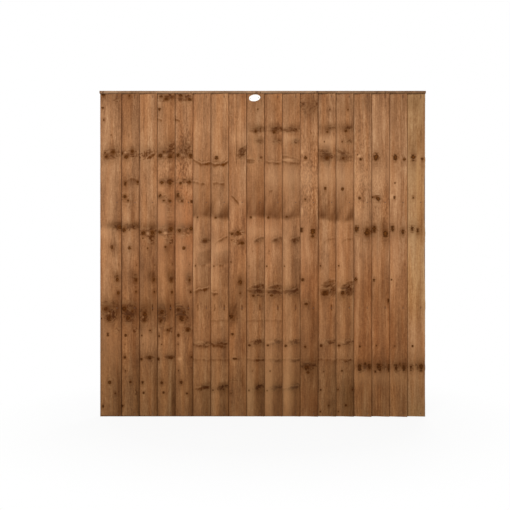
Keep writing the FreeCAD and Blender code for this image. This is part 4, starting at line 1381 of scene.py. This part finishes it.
        # Painted shade darkens the lower half, as light falls off towards the floor: warm at knee height and
        # grey at the foot
        height = add(tree, SPLIT_VECTOR, {0: add(tree, COORDINATES).outputs["Object"]}).outputs["Z"]
        painted_foot_shade_ramp = add(tree, RAMP, {0: height},
                   stops=[(0.0, linear("#D4D3C6")), (0.2, linear("#DEDCD0")), (0.42, linear("#ECE6DC")),
                          (0.65, linear("#F8F3EA")), (0.9, linear("#FFFFFF"))])
        coats.append((1.0, painted_foot_shade_ramp, "MULTIPLY"))
    # End grain drinks more of the dip
    facing = add(tree, SPLIT_VECTOR, {0: add(tree, "ShaderNodeNewGeometry").outputs["Normal"]})
    turned = add(tree, MATH, {0: facing.outputs[end_axis]}, operation="ABSOLUTE")
    end = add(tree, RANGE, {"Value": turned, "From Min": 0.75, "From Max": 0.9, "To Max": 0.6})
    coats.append((end, linear("#5B3B25"), "MIX"))
    colour = wood.outputs["Color"]
    for factor, coat, blend in coats:
        layers = {FACTOR: factor, FIRST: colour, SECOND: coat}
        colour = add(tree, MIX, layers, data_type="RGBA", blend_type=blend).outputs[2]

    # Saw marks lie under the furry fibres, and the rings stand out a little
    saw_height = add(tree, MATH, {0: noise["saw"], 1: 0.5, 2: noise["fibre"]}, operation="MULTIPLY_ADD")
    rough_height = add(tree, MATH, {0: noise["rings"], 1: 0.6, 2: saw_height}, operation="MULTIPLY_ADD")
    bump = add(tree, BUMP, {"Height": rough_height, "Strength": 0.45, "Distance": 0.0006})
    roughness = add(
        tree, RANGE,
        {"Value": noise["fibre"], "From Min": 0.3, "From Max": 0.7, "To Min": 0.72, "To Max": 0.92},
    )
    shader = add(
        tree, PRINCIPLED,
        {"Base Color": colour, "Roughness": roughness, "Specular IOR Level": 0.06, "Normal": bump},
    )
    add(tree, SURFACE, {"Surface": shader})
    return material


def galvanised_steel(name):
    """Hot-dipped nail wire: dull grey zinc with a faint crystal pattern, browned by the wood's dip."""
    material = new_material(name)
    tree = material.node_tree
    place = add(tree, COORDINATES).outputs["Object"]
    # Zinc crystals about 1.5 mm across
    crystal = add(tree, "ShaderNodeTexVoronoi", {"Vector": place, "Scale": 1000 / 1.5})
    # Brown bloom in patches of about 4 mm
    bloom = add(tree, NOISE, {"Vector": place, "Scale": 1000 / 4, "Detail": 3.0})
    zinc = add(tree, RAMP, {0: crystal.outputs["Color"]},
               stops=[(0.2, linear("#76787A")), (0.8, linear("#9A9C9C"))])
    cover = add(tree, RANGE,
                {"Value": bloom, "From Min": 0.25, "From Max": 0.5, "To Min": 0.8, "To Max": 1.0})
    colour = add(tree, MIX, {FACTOR: cover, FIRST: zinc, SECOND: linear("#5A3C26")}, data_type="RGBA")
    # Where the bloom is thickest the metal hardly shows, and it is rougher
    metal = add(tree, RANGE,
                {"Value": cover, "From Min": 0.8, "From Max": 1.0, "To Min": 0.5, "To Max": 0.1})
    rough = add(tree, RANGE,
                {"Value": cover, "From Min": 0.8, "From Max": 1.0, "To Min": 0.6, "To Max": 0.85})
    bump = add(tree, BUMP, {"Height": bloom, "Strength": 0.3, "Distance": 0.0002})
    shader = add(tree, PRINCIPLED,
                 {"Base Color": colour.outputs[2], "Metallic": metal, "Roughness": rough, "Normal": bump})
    add(tree, SURFACE, {"Surface": shader})
    return material


def moulded_tag_plastic(name):
    """White moulded polypropylene: satin, very slightly wavy, with a breath of dust."""
    material = new_material(name)
    tree = material.node_tree
    place = add(tree, COORDINATES).outputs["Object"]
    # Dust in patches of about 8 mm, moulding texture of about 0.6 mm
    dust = add(tree, NOISE, {"Vector": place, "Scale": 1000 / 8, "Detail": 4.0, "Roughness": 0.6})
    skin = add(tree, NOISE, {"Vector": place, "Scale": 1000 / 0.6, "Detail": 1.0})
    colour = add(tree, RAMP, {0: dust}, stops=[(0.3, linear("#D6D3CC")), (0.62, linear("#E8E6E1"))])
    rough = add(tree, RANGE,
                {"Value": dust, "From Min": 0.3, "From Max": 0.7, "To Min": 0.55, "To Max": 0.38})
    bump = add(tree, BUMP, {"Height": skin, "Strength": 0.15, "Distance": 0.0001})
    shader = add(tree, PRINCIPLED, {"Base Color": colour, "Roughness": rough, "IOR": 1.49, "Normal": bump})
    add(tree, SURFACE, {"Surface": shader})
    return material


bpy.context.scene.view_settings.view_transform = "Standard"
# From the darkest wood to the palest
BOARD_TONES = ("#59381F", "#80583A", "#9B704D", "#BE956F")
FRAME_TONES = ("#5A361C", "#7E5433", "#966944", "#B28760")
CAP_TONES = ("#6B513D", "#8C6E54", "#9E8066", "#B3967C")
board_wood = sawn_softwood("dip_treated_sawn_spruce", *BOARD_TONES, Z_AXIS)
upright_wood = sawn_softwood("dip_treated_sawn_batten_upright", *FRAME_TONES, Z_AXIS)
rail_wood = sawn_softwood("dip_treated_sawn_rail", *FRAME_TONES, X_AXIS)
cap_wood = sawn_softwood("weathered_sawn_spruce_cap", *CAP_TONES, X_AXIS, painted_foot_shade=False)
nail_steel = galvanised_steel("galvanised_steel_browned_by_dip")
tag_plastic = moulded_tag_plastic("moulded_white_polypropylene")

for board in range(1, BOARDS + 1):
    board_piece(board, board_wood)
for number, rail in enumerate(RAILS):
    batten_piece(rail + "_sawn", rail, X_AXIS, 100 + 10 * number, rail_wood)
    board_nails(rail, nail_steel)
for number, node in enumerate(("left_end_batten", "right_end_batten")):
    batten_piece(node + "_sawn", node, Z_AXIS, 200 + 10 * number, upright_wood)
batten_piece("weathered_cap", "cap_rail", X_AXIS, 300, cap_wood,
             wear=1.8, column=3.0, tones=cap_weather)
frame_nails(nail_steel)
cap_nails(nail_steel)
oval_tag(tag_plastic)
tag_pins(nail_steel)
stage_floor()
world_light(strength=0.45)
area_light("key_softbox", (-1.3, -5.0, 3.0), watts=240)
area_light("back_softbox", (1.6, 5.0, 3.2), watts=190)
front_camera()
